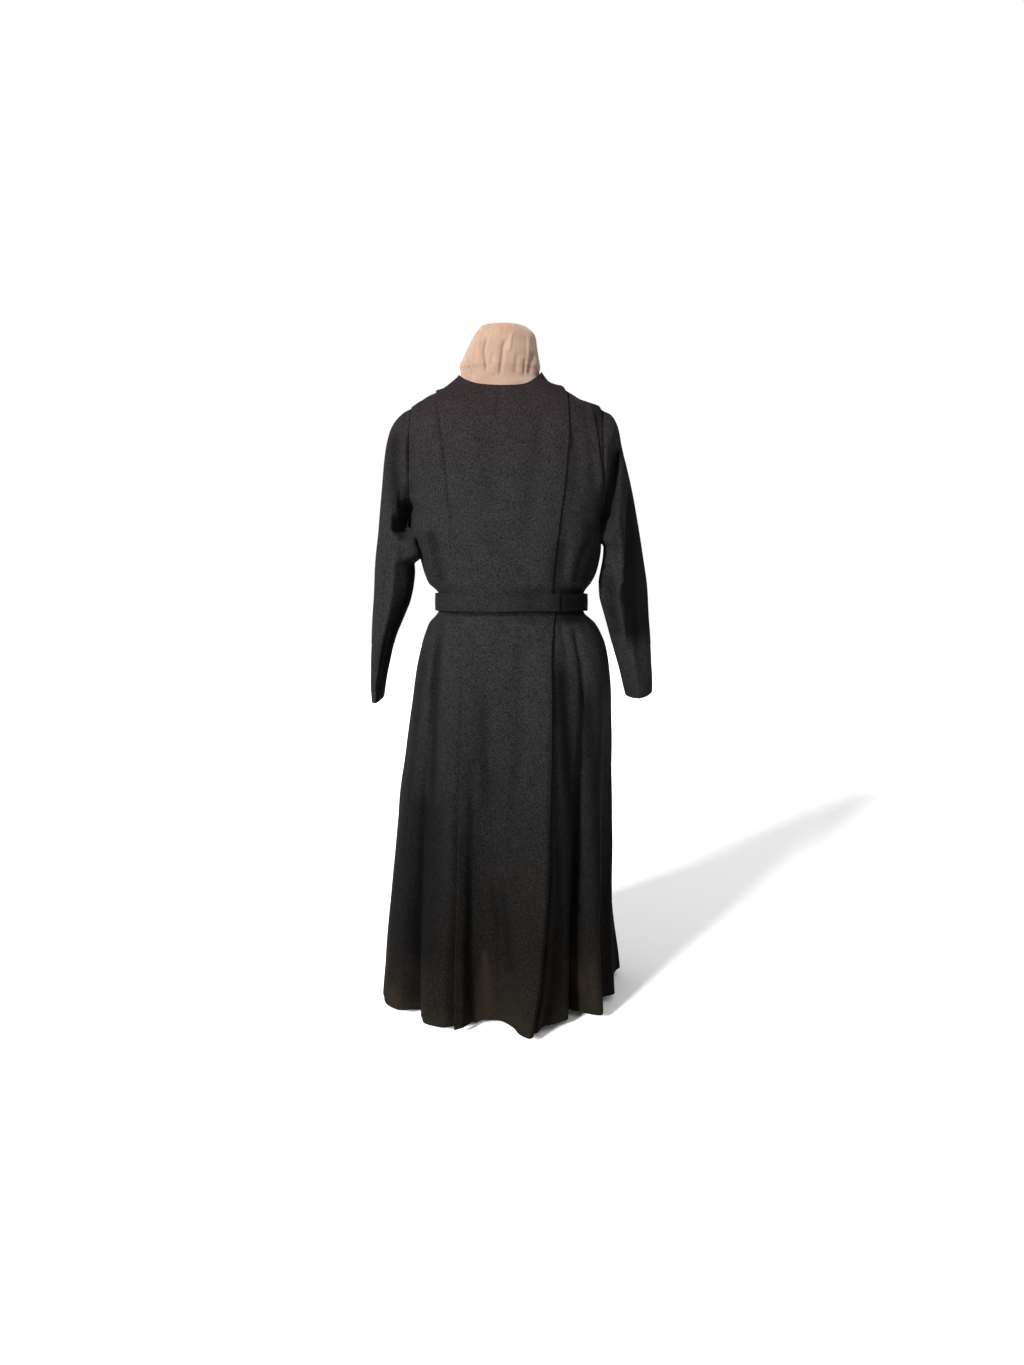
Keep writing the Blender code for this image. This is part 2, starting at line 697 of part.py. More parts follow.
class Skirt:
    """The skirt's outer face over one table of folds."""

    def __init__(self, folds, lift):
        self.lift = lift
        angles = [math.radians(fold[0]) for fold in folds]
        places = [hem_place(x, y) for _, x, y in folds]
        turns = []
        for angle, (turn, _) in zip(angles, places):
            whole = round((angle - turn) / (2.0 * math.pi))
            turns.append(turn + whole * 2.0 * math.pi)
        self.turn = Curve(angles, turns)
        self.reach = Curve(angles, [reach for _, reach in places])

    def point(self, angle, z):
        """The point below a waist angle at a height."""
        fold = FLARE["fold"](z)
        growth = LIFT_GROWTH * smooth_step((BELT_BOTTOM_Z - z) / LIFT_GROWTH_HEIGHT)
        lift = (self.lift + growth if self.lift else 0.0) * (1.0 - fold)
        waist = bodice_base(angle, WAIST_Z)
        waist.z = z
        turn = self.turn(angle)
        depth = HEM_RING["front"] if math.cos(turn) >= 0.0 else HEM_RING["back"]
        hem_x, hem_y = ring_point(
            HEM_RING["centre_x"], HEM_RING["half_width"], depth, turn, HEM_POWER
        )
        hem = Vector((hem_x, hem_y, z))
        middle = Vector((HEM_RING["centre_x"], 0.0, z))
        folded = middle + (hem - middle) * self.reach(angle)
        side_share = math.sin(angle) ** 2
        share = FLARE["front"](z) * (1.0 - side_share) + FLARE["side"](z) * side_share
        outward = Vector((math.sin(angle), -math.cos(angle), 0.0))
        sway = Vector((FLARE["sway"](z) + edge_bend(angle, z), 0.0, 0.0))
        return waist + (hem - waist) * share + (folded - hem) * fold + outward * lift + sway

    def span(self, angle, z):
        """From just before an angle to just past it, along the row."""
        return self.point(angle + SMALL_TURN, z) - self.point(angle - SMALL_TURN, z)

    def normal(self, angle, z):
        upward = self.point(angle, z + SMALL_RISE) - self.point(angle, z - SMALL_RISE)
        return self.span(angle, z).cross(upward).normalized()

    def along(self, angle, z):
        return self.span(angle, z).normalized()

    def step(self, angle, distance, z):
        """The angle that lies a distance further along the row."""
        for _ in range(WALK_STEPS):
            speed = self.span(angle, z).length / (2.0 * SMALL_TURN)
            angle += distance / WALK_STEPS / speed
        return angle


def edge_bend(angle, z):
    """The sideways bend at a waist angle: full at a panel edge, nothing far from it."""
    degrees = (math.degrees(angle) + 180.0) % 360.0 - 180.0
    bend = 0.0
    for column, (start, full, still_full, end) in (("left", BEND_LEFT), ("right", BEND_RIGHT)):
        rising = smooth_step((degrees - start) / (full - start))
        falling = smooth_step((end - degrees) / (end - still_full))
        bend += BEND[column](z) * rising * falling
    return bend


def hem_place(x, y):
    """A hem point as an angle round the hem's base oval and a share of its radius."""
    across = (x - HEM_RING["centre_x"]) / HEM_RING["half_width"]
    ahead = -y / (HEM_RING["front"] if y < 0.0 else HEM_RING["back"])
    reach = (abs(across) ** HEM_POWER + abs(ahead) ** HEM_POWER) ** (1.0 / HEM_POWER)
    half_power = HEM_POWER / 2.0
    turn = math.atan2(signed_power(across, half_power), signed_power(ahead, half_power))
    return turn, reach


def fold_angles(folds, steps, start=None, end=None):
    """Waist angles at the folds between start and end, with even steps between folds."""
    knots = [math.radians(fold[0]) for fold in folds]
    if start is not None:
        knots = [knot for knot in knots if math.radians(start) <= knot + 1e-6]
    if end is not None:
        knots = [knot for knot in knots if knot - 1e-6 <= math.radians(end)]
    angles = []
    for low, high in zip(knots, knots[1:]):
        angles += [low + (high - low) * i / steps for i in range(steps)]
    return angles + [knots[-1]]


def build_skirt_panel():
    skirt = Skirt(PANEL_FOLDS, PANEL_LIFT)
    angles = fold_angles(PANEL_FOLDS, PANEL_STEPS)
    rows = []
    for z in SKIRT_ROWS:
        turned = {}
        for side, angle in ((-1, angles[0]), (1, angles[-1])):
            turned[side] = turned_edge(
                lambda a: skirt.point(a, z),
                lambda a: skirt.normal(a, z),
                lambda a, distance: skirt.step(a, distance, z),
                angle,
                skirt.along(angle, z) * side,
                side,
                TURN_WIDTH,
            )
        middle = [skirt.point(angle, z) for angle in angles]
        rows.append(turned[-1][::-1] + middle + turned[1])
    cloth("skirt_front_panel", rows)


def build_skirt_ground():
    """The sides and back: one run of folds, cut at the side seams."""
    skirt = Skirt(GROUND_FOLDS, 0.0)
    pieces = (
        ("skirt_right", None, RIGHT_SEAM),
        ("skirt_back", RIGHT_SEAM, LEFT_SEAM),
        ("skirt_left", LEFT_SEAM, None),
    )
    for name, start, end in pieces:
        angles = fold_angles(GROUND_FOLDS, GROUND_STEPS, start, end)
        rows = []
        for z in SKIRT_ROWS:
            row_angles = list(angles)
            if start is not None:
                first = row_angles[0]
                row_angles[0] = skirt.step(first, SEAM_GAP / 2.0, z)
                row_angles.insert(1, skirt.step(first, SEAM_STRIP, z))
            if end is not None:
                last = row_angles[-1]
                row_angles[-1] = skirt.step(last, -SEAM_GAP / 2.0, z)
                row_angles.insert(-1, skirt.step(last, -SEAM_STRIP, z))
            rows.append([skirt.point(angle, z) for angle in row_angles])
        cloth(name, rows)


def build_sleeve(name, side, sections):
    """A tube through its sections; each section goes from the inner point round the front."""
    rows = []
    for outer_x, outer_z, inner_x, inner_z, depth, middle_y, lean in reversed(sections):
        outer = Vector((side * outer_x, middle_y, outer_z))
        inner = Vector((side * inner_x, middle_y, inner_z))
        middle = (outer + inner) / 2.0
        across = (outer - inner) / 2.0
        backwards = Vector((0.0, depth, lean))
        row = []
        for i in range(SLEEVE_COLUMNS):
            turn = 2.0 * math.pi * i / SLEEVE_COLUMNS
            row.append(middle - across * math.cos(turn) - backwards * math.sin(turn))
        rows.append(row)
    cloth(name, rows, closed=True, turn_over=side < 0)


def build_belt():
    """A strip round the waist, over the panels, whose outer end laps over its inner end."""
    rows = []
    inner_face = PANEL_LIFT + BELT_CLEAR
    lap = BELT_WALL + SEAM_GAP
    for z in (BELT_BOTTOM_Z, BELT_BOTTOM_Z + BELT_HEIGHT / 2.0, BELT_BOTTOM_Z + BELT_HEIGHT):
        row = []
        for i in range(BELT_STEPS + 1):
            degrees = BELT_INNER_END + (BELT_OUTER_END - BELT_INNER_END) * i / BELT_STEPS
            rise = smooth_step((degrees - BELT_RISE_START) / (BELT_RISE_END - BELT_RISE_START))
            out = inner_face + BELT_WALL + lap * rise
            angle = math.radians(degrees)
            point = bodice_base(angle, WAIST_Z) + base_normal(angle, WAIST_Z) * out
            point.z = z
            row.append(point)
        rows.append(row)
    cloth("belt", rows, wall=BELT_WALL, made_of=belt_crepe())


def form_rings():
    """Rings of the form: torso, shoulders just under the cloth, and neck."""
    rings = list(FORM_LOWER)
    for z in FORM_SHOULDER_ROWS:
        above = z + FORM_DROP
        tip_share = 1.0 - smooth_step((z - SHOULDER_TIP_Z) / FORM_TIP_HEIGHT)
        rings.append((
            z,
            BODICE["centre_x"](above),
            BODICE["half_width"](above) - FORM_TIP_EASE * tip_share,
            BODICE["front"](above) - FORM_FRONT_EASE,
            BODICE["back"](above) - FORM_FRONT_EASE,
        ))
    return rings + list(FORM_NECK)


def build_form_body():
    rows = []
    for z, centre_x, half_width, front, back in form_rings():
        row = []
        for i in range(FORM_COLUMNS):
            angle = 2.0 * math.pi * i / FORM_COLUMNS
            depth = front if math.cos(angle) >= 0.0 else back
            x, y = ring_point(centre_x, half_width, depth, angle, RING_POWER)
            row.append(Vector((x, y, z)))
        rows.append(row)
    bm = grid(rows, closed=True)
    rims = [edge for edge in bm.edges if edge.is_boundary]
    bmesh.ops.holes_fill(bm, edges=rims, sides=0)
    bmesh.ops.recalc_face_normals(bm, faces=bm.faces)
    finish(bm, "form_body", beige_cover())


def build_form_pole():
    bottom = SOCKET_DEPTH_Z + SEAM_GAP
    top = FORM_BOTTOM_Z - SEAM_GAP
    bm = bmesh.new()
    bmesh.ops.create_cone(
        bm,
        cap_ends=True,
        segments=POLE_SEGMENTS,
        radius1=POLE_RADIUS,
        radius2=POLE_RADIUS,
        depth=top - bottom,
    )
    bmesh.ops.translate(bm, vec=(0.0, 0.0, (top + bottom) / 2.0), verts=bm.verts)
    finish(bm, "form_pole", steel())


def build_form_base():
    """A turned disc with a boss that holds the pole."""
    socket = POLE_RADIUS + SEAM_GAP
    disc_top = BASE_THICKNESS - BASE_SLOPE
    profile = (
        (0.0, SOCKET_DEPTH_Z),
        (socket, SOCKET_DEPTH_Z),
        (socket, BOSS_TOP_Z),
        (BOSS_RADIUS - EDGE_ROUND, BOSS_TOP_Z),
        (BOSS_RADIUS, BOSS_TOP_Z - EDGE_ROUND),
        (BOSS_RADIUS, BASE_THICKNESS + EDGE_ROUND),
        (BOSS_RADIUS + BOSS_FLARE, BASE_THICKNESS),
        (BASE_RADIUS - EDGE_ROUND, disc_top),
        (BASE_RADIUS, disc_top - EDGE_ROUND),
        (BASE_RADIUS, FOOT_ROUND),
        (BASE_RADIUS - FOOT_ROUND, 0.0),
        (0.0, 0.0),
    )
    bm = bmesh.new()
    verts = [bm.verts.new((radius, 0.0, z)) for radius, z in profile]
    for start, end in zip(verts, verts[1:]):
        bm.edges.new((start, end))
    made = finish(bm, "form_base", steel())
    screw = made.modifiers.new("turn", "SCREW")
    screw.axis = "Z"
    screw.steps = ROUND_STEPS
    screw.render_steps = ROUND_STEPS
    screw.use_merge_vertices = True
    screw.merge_threshold = 0.0001


def main():
    for old in list(bpy.data.objects):
        bpy.data.objects.remove(old)
    collection = bpy.data.collections.new(COLLECTION)
    bpy.context.scene.collection.children.link(collection)
    build_bodice_front()
    build_bodice_back()
    build_sleeve("sleeve_right", 1, SLEEVE_RIGHT)
    build_sleeve("sleeve_left", -1, SLEEVE_LEFT)
    build_belt()
    build_skirt_panel()
    build_skirt_ground()
    build_form_body()
    build_form_pole()
    build_form_base()


main()
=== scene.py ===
# %% [markdown]
# # A black nun habit on a covered dress form
# The habit is sewn from thin black crepe: a bodice with a flat front panel, long set-in sleeves, a
# stitched belt and a flared skirt whose panel carries on from the bodice. It hangs on a limbless form.
# Each piece of cloth is built as a thin sheet over the shape that its CAD solid has, then creased.

# %% The frame: the imported model
import math

import bmesh
import bpy
import numpy as np
from mathutils import Matrix, Vector


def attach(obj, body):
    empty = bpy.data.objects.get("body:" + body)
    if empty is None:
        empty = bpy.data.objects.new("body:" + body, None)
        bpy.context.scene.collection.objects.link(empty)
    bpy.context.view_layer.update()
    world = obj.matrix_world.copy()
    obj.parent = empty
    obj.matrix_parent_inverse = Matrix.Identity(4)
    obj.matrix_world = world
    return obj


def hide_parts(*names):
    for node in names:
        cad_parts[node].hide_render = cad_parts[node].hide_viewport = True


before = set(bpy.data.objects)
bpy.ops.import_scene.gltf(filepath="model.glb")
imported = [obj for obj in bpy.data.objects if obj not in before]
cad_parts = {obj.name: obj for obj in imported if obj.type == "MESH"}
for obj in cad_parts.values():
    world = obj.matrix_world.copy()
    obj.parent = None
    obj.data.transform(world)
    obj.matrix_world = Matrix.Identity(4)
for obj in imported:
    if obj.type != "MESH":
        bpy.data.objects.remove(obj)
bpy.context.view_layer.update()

# %% [markdown]
# ## The camera
# The photograph was taken from 2.2 m in front, with the lens 0.807 m above the floor and level. The
# object stands above the middle of the picture, so the picture is shifted down and a little sideways,
# as with a shift lens. That keeps upright lines upright, which tilting the camera would not.

# %% The camera
PICTURE_WIDTH_PX = 1024
PICTURE_HEIGHT_PX = 1365
FOCAL_LENGTH_PX = 1122
HORIZON_Y_PX = 580
MIDDLE_X_PX = 506
CAMERA_DISTANCE = 2.2
CAMERA_HEIGHT = 0.807
SENSOR_MM = 36.0

lens = bpy.data.cameras.new("photo_camera")
lens.sensor_width = SENSOR_MM
lens.lens = SENSOR_MM * FOCAL_LENGTH_PX / PICTURE_HEIGHT_PX
lens.shift_x = (PICTURE_WIDTH_PX / 2 - MIDDLE_X_PX) / PICTURE_HEIGHT_PX
lens.shift_y = (HORIZON_Y_PX - PICTURE_HEIGHT_PX / 2) / PICTURE_HEIGHT_PX
camera = bpy.data.objects.new("photo_camera", lens)
camera.location = (0.0, -CAMERA_DISTANCE, CAMERA_HEIGHT)
camera.rotation_euler = (math.radians(90.0), 0.0, 0.0)
bpy.context.scene.collection.objects.link(camera)
bpy.context.scene.camera = camera
print("lens", round(lens.lens, 2), "mm, shift", round(lens.shift_x, 4), round(lens.shift_y, 4))

# %% [markdown]
# ## Curves through short tables
# A garment's shape changes smoothly from its neck to its hem. A few measured sections in a table say
# enough, and a curve through each column gives every height between them. The curve is monotone
# between knots, so it never bulges past a value that was measured.

# %% A curve through a table's column


def smooth_curve(places, values):
    places = np.array(places, dtype=float)
    values = np.array(values, dtype=float)
    steps = np.diff(places)
    rises = np.diff(values) / steps
    slopes = np.zeros_like(values)
    slopes[0] = rises[0]
    slopes[-1] = rises[-1]
    for i in range(1, len(values) - 1):
        before = rises[i - 1]
        after = rises[i]
        if before * after > 0.0:
            near = 2.0 * steps[i] + steps[i - 1]
            far = steps[i] + 2.0 * steps[i - 1]
            slopes[i] = (near + far) / (near / before + far / after)

    def at(place):
        place = np.clip(place, places[0], places[-1])
        i = np.clip(np.searchsorted(places, place, side="right") - 1, 0, len(steps) - 1)
        t = (place - places[i]) / steps[i]
        return (
            values[i] * (1.0 + 2.0 * t) * (1.0 - t) ** 2
            + slopes[i] * steps[i] * t * (1.0 - t) ** 2
            + values[i + 1] * t * t * (3.0 - 2.0 * t)
            - slopes[i + 1] * steps[i] * t * t * (1.0 - t)
        )

    return at


def curves(table, names):
    columns = list(zip(*table))
    return {name: smooth_curve(columns[0], column) for name, column in zip(names, columns[1:])}


def smooth_step(share):
    share = np.clip(share, 0.0, 1.0)
    return share * share * (3.0 - 2.0 * share)


print("halfway up a smooth step:", smooth_step(0.5))

# %% [markdown]
# ## The garment's measurements
# These are the same sections that the CAD solids were made from, in metres. x runs towards the
# viewer's right, the front faces -Y and z is the height above the floor. Angles go round the body from
# the middle of the front.

# %% Bodice sections and the front panel's edges
WAIST_Z = 0.7645
UNDERARM_Z = 0.930
SHOULDER_TIP_Z = 1.141
NECK_FRONT_Z = 1.172
NECK_LEFT_Z = 1.208
NECK_RIGHT_Z = 1.214
ARMHOLE_X = 0.186
ARMHOLE_REACH = 0.055
RING_POWER = 2.3
SEAM_GAP = 0.0003

BODICE = curves((
    # z      centre_x  half_width  front   back
    (0.7645, 0.0106, 0.1416, 0.1180, 0.1000),
    (0.7800, 0.0106, 0.1416, 0.1180, 0.1000),
    (0.7860, 0.0100, 0.1445, 0.1192, 0.1015),
    (0.8000, 0.0075, 0.1580, 0.1230, 0.1070),
    (0.8200, 0.0085, 0.1675, 0.1250, 0.1100),
    (0.8500, 0.0080, 0.1754, 0.1255, 0.1130),
    (0.9000, 0.0000, 0.1862, 0.1240, 0.1165),
    (0.9300, 0.0000, 0.1860, 0.1230, 0.1175),
    (1.0000, 0.0000, 0.1860, 0.1200, 0.1185),
    (1.0600, 0.0000, 0.1860, 0.1165, 0.1155),
    (1.1000, 0.0000, 0.1860, 0.1110, 0.1100),
    (1.1410, 0.0000, 0.1860, 0.0990, 0.0985),
    (1.1570, -0.0080, 0.1560, 0.0910, 0.0910),
    (1.1670, -0.0065, 0.1385, 0.0845, 0.0850),
    (1.1770, -0.0055, 0.1203, 0.0775, 0.0785),
    (1.1900, -0.0105, 0.0975, 0.0695, 0.0710),
    (1.2050, -0.0100, 0.0845, 0.0625, 0.0640),
    (1.2140, -0.0108, 0.0797, 0.0595, 0.0615),
), ("centre_x", "half_width", "front", "back"))

PANEL_EDGE = curves((
    # z     left_x   right_x
    (0.764, -0.0885, 0.0830),
    (0.800, -0.0885, 0.0845),
    (0.860, -0.0905, 0.0910),
    (0.915, -0.0960, 0.0980),
    (0.975, -0.1035, 0.1060),
    (1.035, -0.1106, 0.1120),
    (1.095, -0.1190, 0.1165),
    (1.150, -0.1275, 0.1150),
    (1.190, -0.1410, 0.1040),
), (-1, 1))
print("bodice half width at the bust", BODICE["half_width"](0.93))

# %% Skirt sections, folds and edges
HEM_Z = 0.012
BELT_BOTTOM_Z = 0.748
HEM_POWER = 2.1
FLARE = curves((
    # z      side   front  fold   sway
    (HEM_Z, 1.000, 1.000, 1.000, 0.0000),
    (0.1530, 0.895, 0.830, 0.770, -0.0015),
    (0.2600, 0.835, 0.700, 0.600, 0.0015),
    (0.3700, 0.763, 0.580, 0.440, 0.0035),
    (0.4500, 0.697, 0.480, 0.330, 0.0057),
    (0.5290, 0.633, 0.340, 0.220, 0.0090),
    (0.6110, 0.560, 0.215, 0.120, 0.0115),
    (0.6720, 0.448, 0.120, 0.050, 0.0110),
    (0.7030, 0.334, 0.075, 0.020, 0.0091),
    (0.7230, 0.226, 0.045, 0.000, 0.0057),
    (0.7475, 0.000, 0.000, 0.000, 0.0000),
    (0.7645, 0.000, 0.000, 0.000, 0.0000),
), ("side", "front", "fold", "sway"))
EDGE_BEND = curves((
    # z      left    right
    (HEM_Z, 0.000, 0.000),
    (0.100, 0.002, 0.012),
    (0.200, 0.003, 0.017),
    (0.300, 0.002, 0.0145),
    (0.440, 0.001, 0.008),
    (0.590, -0.002, -0.005),
    (0.685, -0.003, -0.011),
    (0.7475, 0.000, 0.000),
), ("left", "right"))
BEND_REACH = {"left": (-52.0, -44.0, -36.0, -18.0), "right": (8.0, 25.0, 34.0, 48.0)}
HEM_RING = {"centre_x": -0.002, "half_width": 0.234, "front": 0.212, "back": 0.212}

PANEL_FOLDS = (
    # waist  hem_x    hem_y
    (-39.8, -0.0903, -0.2178),
    (-34.1, -0.0763, -0.2090),
    (-24.0, -0.0629, -0.1820),
    (-14.0, -0.0343, -0.1730),
    (-6.0, -0.0132, -0.1760),
    (5.0, 0.0080, -0.2000),
    (19.0, 0.0252, -0.2396),
    (27.0, 0.0416, -0.2567),
    (30.7, 0.0470, -0.2480),
)
GROUND_FOLDS = (
    # waist  hem_x    hem_y
    (20.0, 0.0290, -0.2180),
    (30.7, 0.0525, -0.2330),
    (38.0, 0.0677, -0.2000),
    (43.0, 0.0856, -0.1910),
    (49.5, 0.1095, -0.1730),
    (54.0, 0.1105, -0.1200),
    (60.0, 0.1190, -0.1240),
    (67.0, 0.1416, -0.1370),
    (73.0, 0.1590, -0.1485),
    (78.5, 0.1755, -0.1485),
    (83.0, 0.1720, -0.0750),
    (88.0, 0.1860, -0.0593),
    (94.0, 0.2085, -0.0420),
    (102.0, 0.2080, 0.0250),
    (110.0, 0.2240, 0.0850),
    (117.0, 0.2315, 0.1080),
    (125.0, 0.1980, 0.1240),
    (132.0, 0.1850, 0.1750),
    (140.0, 0.1350, 0.1660),
    (149.0, 0.1050, 0.2230),
    (160.0, 0.0560, 0.1880),
    (170.0, 0.0280, 0.2320),
    (181.0, -0.0080, 0.2360),
    (191.0, -0.0420, 0.1900),
    (203.0, -0.0850, 0.2280),
    (213.0, -0.1180, 0.1900),
    (222.0, -0.1500, 0.1970),
    (231.0, -0.1880, 0.1560),
    (240.0, -0.1950, 0.1180),
    (250.0, -0.2300, 0.0960),
    (258.0, -0.2220, 0.0400),
    (266.0, -0.2365, -0.0180),
    (272.0, -0.2330, -0.0620),
    (279.0, -0.2230, -0.0990),
    (286.0, -0.1990, -0.1260),
    (292.0, -0.1760, -0.1240),
    (299.0, -0.1580, -0.1140),
    (307.0, -0.1545, -0.1600),
    (313.0, -0.1433, -0.1910),
    (317.0, -0.1159, -0.2080),
    (320.2, -0.0930, -0.2000),
    (331.0, -0.0730, -0.1860),
)
RIGHT_SEAM = 94.0
LEFT_SEAM = 266.0
print("folds round the hem:", len(GROUND_FOLDS), "and", len(PANEL_FOLDS), "on the panel")

# %% Sleeve sections
SLEEVE_SECTIONS = {
    1: (
        # outer_x outer_z inner_x inner_z depth   middle_y lean
        (0.1863, 1.1410, 0.1863, 0.9300, 0.0550, 0.0000, 0.000),
        (0.2055, 1.1300, 0.1888, 0.9120, 0.0585, 0.0010, 0.000),
        (0.2185, 1.1080, 0.1902, 0.8950, 0.0605, 0.0020, 0.000),
        (0.2294, 1.0600, 0.1905, 0.8780, 0.0610, 0.0020, 0.000),
        (0.2430, 1.0030, 0.1898, 0.8600, 0.0600, 0.0010, 0.000),
        (0.2520, 0.9550, 0.1878, 0.8430, 0.0585, 0.0000, 0.000),
        (0.2600, 0.9030, 0.1845, 0.8250, 0.0570, -0.0020, 0.000),
        (0.2675, 0.8500, 0.1812, 0.8030, 0.0560, -0.0040, 0.000),
        (0.2740, 0.7950, 0.1820, 0.7780, 0.0545, -0.0060, 0.001),
        (0.2780, 0.7400, 0.1900, 0.7430, 0.0530, -0.0090, 0.002),
        (0.2810, 0.6900, 0.2035, 0.6970, 0.0500, -0.0120, 0.003),
        (0.2830, 0.6450, 0.2155, 0.6500, 0.0460, -0.0150, 0.005),
        (0.2840, 0.6150, 0.2245, 0.6130, 0.0435, -0.0170, 0.007),
        (0.2840, 0.5930, 0.2315, 0.5850, 0.0420, -0.0180, 0.008),
    ),
    -1: (
        # outer_x outer_z inner_x inner_z depth   middle_y lean
        (0.1863, 1.1410, 0.1863, 0.9300, 0.0550, 0.0000, 0.000),
        (0.2060, 1.1300, 0.1888, 0.9120, 0.0585, 0.0010, 0.000),
        (0.2215, 1.1110, 0.1902, 0.8960, 0.0605, 0.0020, 0.000),
        (0.2340, 1.0760, 0.1900, 0.8820, 0.0610, 0.0020, 0.000),
        (0.2405, 1.0200, 0.1868, 0.8660, 0.0600, 0.0010, 0.000),
        (0.2455, 0.9600, 0.1815, 0.8500, 0.0590, 0.0000, 0.000),
        (0.2490, 0.9030, 0.1790, 0.8260, 0.0580, -0.0020, 0.000),
        (0.2535, 0.8500, 0.1815, 0.8000, 0.0575, -0.0040, 0.000),
        (0.2570, 0.7950, 0.1870, 0.7700, 0.0570, -0.0060, 0.001),
        (0.2595, 0.7400, 0.1990, 0.7370, 0.0560, -0.0090, 0.002),
        (0.2612, 0.6900, 0.2170, 0.6900, 0.0545, -0.0120, 0.003),
        (0.2625, 0.6450, 0.2275, 0.6450, 0.0535, -0.0150, 0.004),
        (0.2630, 0.6110, 0.2345, 0.6090, 0.0530, -0.0170, 0.005),
        (0.2605, 0.5750, 0.2385, 0.5800, 0.0520, -0.0180, 0.005),
    ),
}
print("sleeve sections:", {side: len(rows) for side, rows in SLEEVE_SECTIONS.items()})

# %% [markdown]
# ## Surfaces
# A bodice is close to a squarish oval at each height. Beside the armhole the oval runs on past the
# cloth's edge, so the edge itself is cut square in an upright plane, as a pattern cutter cuts it. The
# skirt blends from the waist's oval to a folded line round the hem.

# %% The bodice's surface
SMALL_TURN = 0.002
SMALL_RISE = 0.001


def points(x, y, z):
    return np.stack(np.broadcast_arrays(x, y, z), axis=-1)


def unit(vectors):
    return vectors / np.linalg.norm(vectors, axis=-1, keepdims=True)


def signed_power(value, power):
    return np.sign(value) * np.abs(value) ** power


def ring_point(centre_x, half_width, depth, angle, power):
    x = centre_x + half_width * signed_power(np.sin(angle), 2.0 / power)
    y = -depth * signed_power(np.cos(angle), 2.0 / power)
    return x, y


def armhole_reach(z):
    middle = (UNDERARM_Z + SHOULDER_TIP_Z) / 2.0
    half_height = (SHOULDER_TIP_Z - UNDERARM_Z) / 2.0
    share = (z - middle) / half_height
    return ARMHOLE_REACH * np.sqrt(np.clip(1.0 - share * share, 0.0, 1.0))


def bodice_section(z, in_front):
    depth = np.where(in_front, BODICE["front"](z), BODICE["back"](z))
    reach = armhole_reach(z)
    past_edge = ARMHOLE_X / (1.0 - (reach / depth) ** RING_POWER) ** (1.0 / RING_POWER)
    half_width = np.where(reach > 0.0, past_edge, BODICE["half_width"](z))
    return BODICE["centre_x"](z), half_width, depth


def bodice_base(angle, z):
    centre_x, half_width, depth = bodice_section(z, np.cos(angle) >= 0.0)
    x, y = ring_point(centre_x, half_width, depth, angle, RING_POWER)
    return points(x, y, z)


def bodice_normal(angle, z):
    before = angle - SMALL_TURN
    behind_right = (np.cos(angle) < 0.0) & (np.sin(angle) > 0.0)
    before = np.where(behind_right, np.maximum(before, math.pi / 2.0), before)
    around = bodice_base(angle + SMALL_TURN, z) - bodice_base(before, z)
    upward = bodice_base(angle, z + SMALL_RISE) - bodice_base(angle, z - SMALL_RISE)
    return unit(np.cross(around, upward))


def neck_height(angle):
    share = signed_power(np.sin(angle), 2.0 / RING_POWER)
    tip = np.where(share > 0.0, NECK_RIGHT_Z, NECK_LEFT_Z)
    middle = (NECK_RIGHT_Z + NECK_LEFT_Z) / 2.0
    in_front = NECK_FRONT_Z + (tip - NECK_FRONT_Z) * share * share
    behind = middle + (tip - middle) * np.abs(share)
    return np.where(np.cos(angle) > 0.0, in_front, behind)


def bodice_height(angle, level):
    """Rows are level up to the shoulder tips; past them, a level adds a share of the way to the neck."""
    share = np.clip(level - SHOULDER_TIP_Z, 0.0, None)
    return np.where(share > 0.0, SHOULDER_TIP_Z + share * (neck_height(angle) - SHOULDER_TIP_Z), level)


def bodice_face(angle, level, out=0.0):
    z = bodice_height(angle, level)
    return bodice_base(angle, z) + bodice_normal(angle, z) * np.asarray(out)[..., None]


def side_end(level, in_front, side, gap):
    """The angle where a piece stops: at the armhole, or a gap short of the side or shoulder seam."""
    z = bodice_height(np.full_like(level, side * math.pi / 2.0), level)
    centre_x, half_width, depth = bodice_section(z, in_front)
    share = np.minimum(1.0, np.abs(side * ARMHOLE_X - centre_x) / half_width)
    at_armhole = np.arcsin(share ** (RING_POWER / 2.0))
    near_side = math.pi / 2.0 - np.arcsin((gap / depth) ** (RING_POWER / 2.0))
    beside_armhole = (armhole_reach(z) > 0.0) & (level <= SHOULDER_TIP_Z)
    angle = np.where(beside_armhole, at_armhole, near_side)
    return side * (angle if in_front else math.pi - angle)


def walk(angle, level, distance, steps=8):
    """The angle a distance further along the row."""
    for _ in range(steps):
        span = bodice_face(angle + SMALL_TURN, level) - bodice_face(angle - SMALL_TURN, level)
        angle = angle + distance / steps / (np.linalg.norm(span, axis=-1) / (2.0 * SMALL_TURN))
    return angle


print("neckline in front and at the sides:", neck_height(np.array([0.0, -1.57, 1.57])).round(4))

# %% The skirt's surface
LIFT_GROWTH = 0.0030
LIFT_GROWTH_HEIGHT = 0.060


def hem_places(folds):
    """Each fold's hem point as an angle round the hem's base oval and a share of its radius."""
    waist, x, y = (np.array(column) for column in zip(*folds))
    across = (x - HEM_RING["centre_x"]) / HEM_RING["half_width"]
    ahead = -y / np.where(y < 0.0, HEM_RING["front"], HEM_RING["back"])
    reach = (np.abs(across) ** HEM_POWER + np.abs(ahead) ** HEM_POWER) ** (1.0 / HEM_POWER)
    turn = np.arctan2(signed_power(across, HEM_POWER / 2.0), signed_power(ahead, HEM_POWER / 2.0))
    waist = np.radians(waist)
    turn = turn + np.round((waist - turn) / (2.0 * math.pi)) * 2.0 * math.pi
    return smooth_curve(waist, turn), smooth_curve(waist, reach)


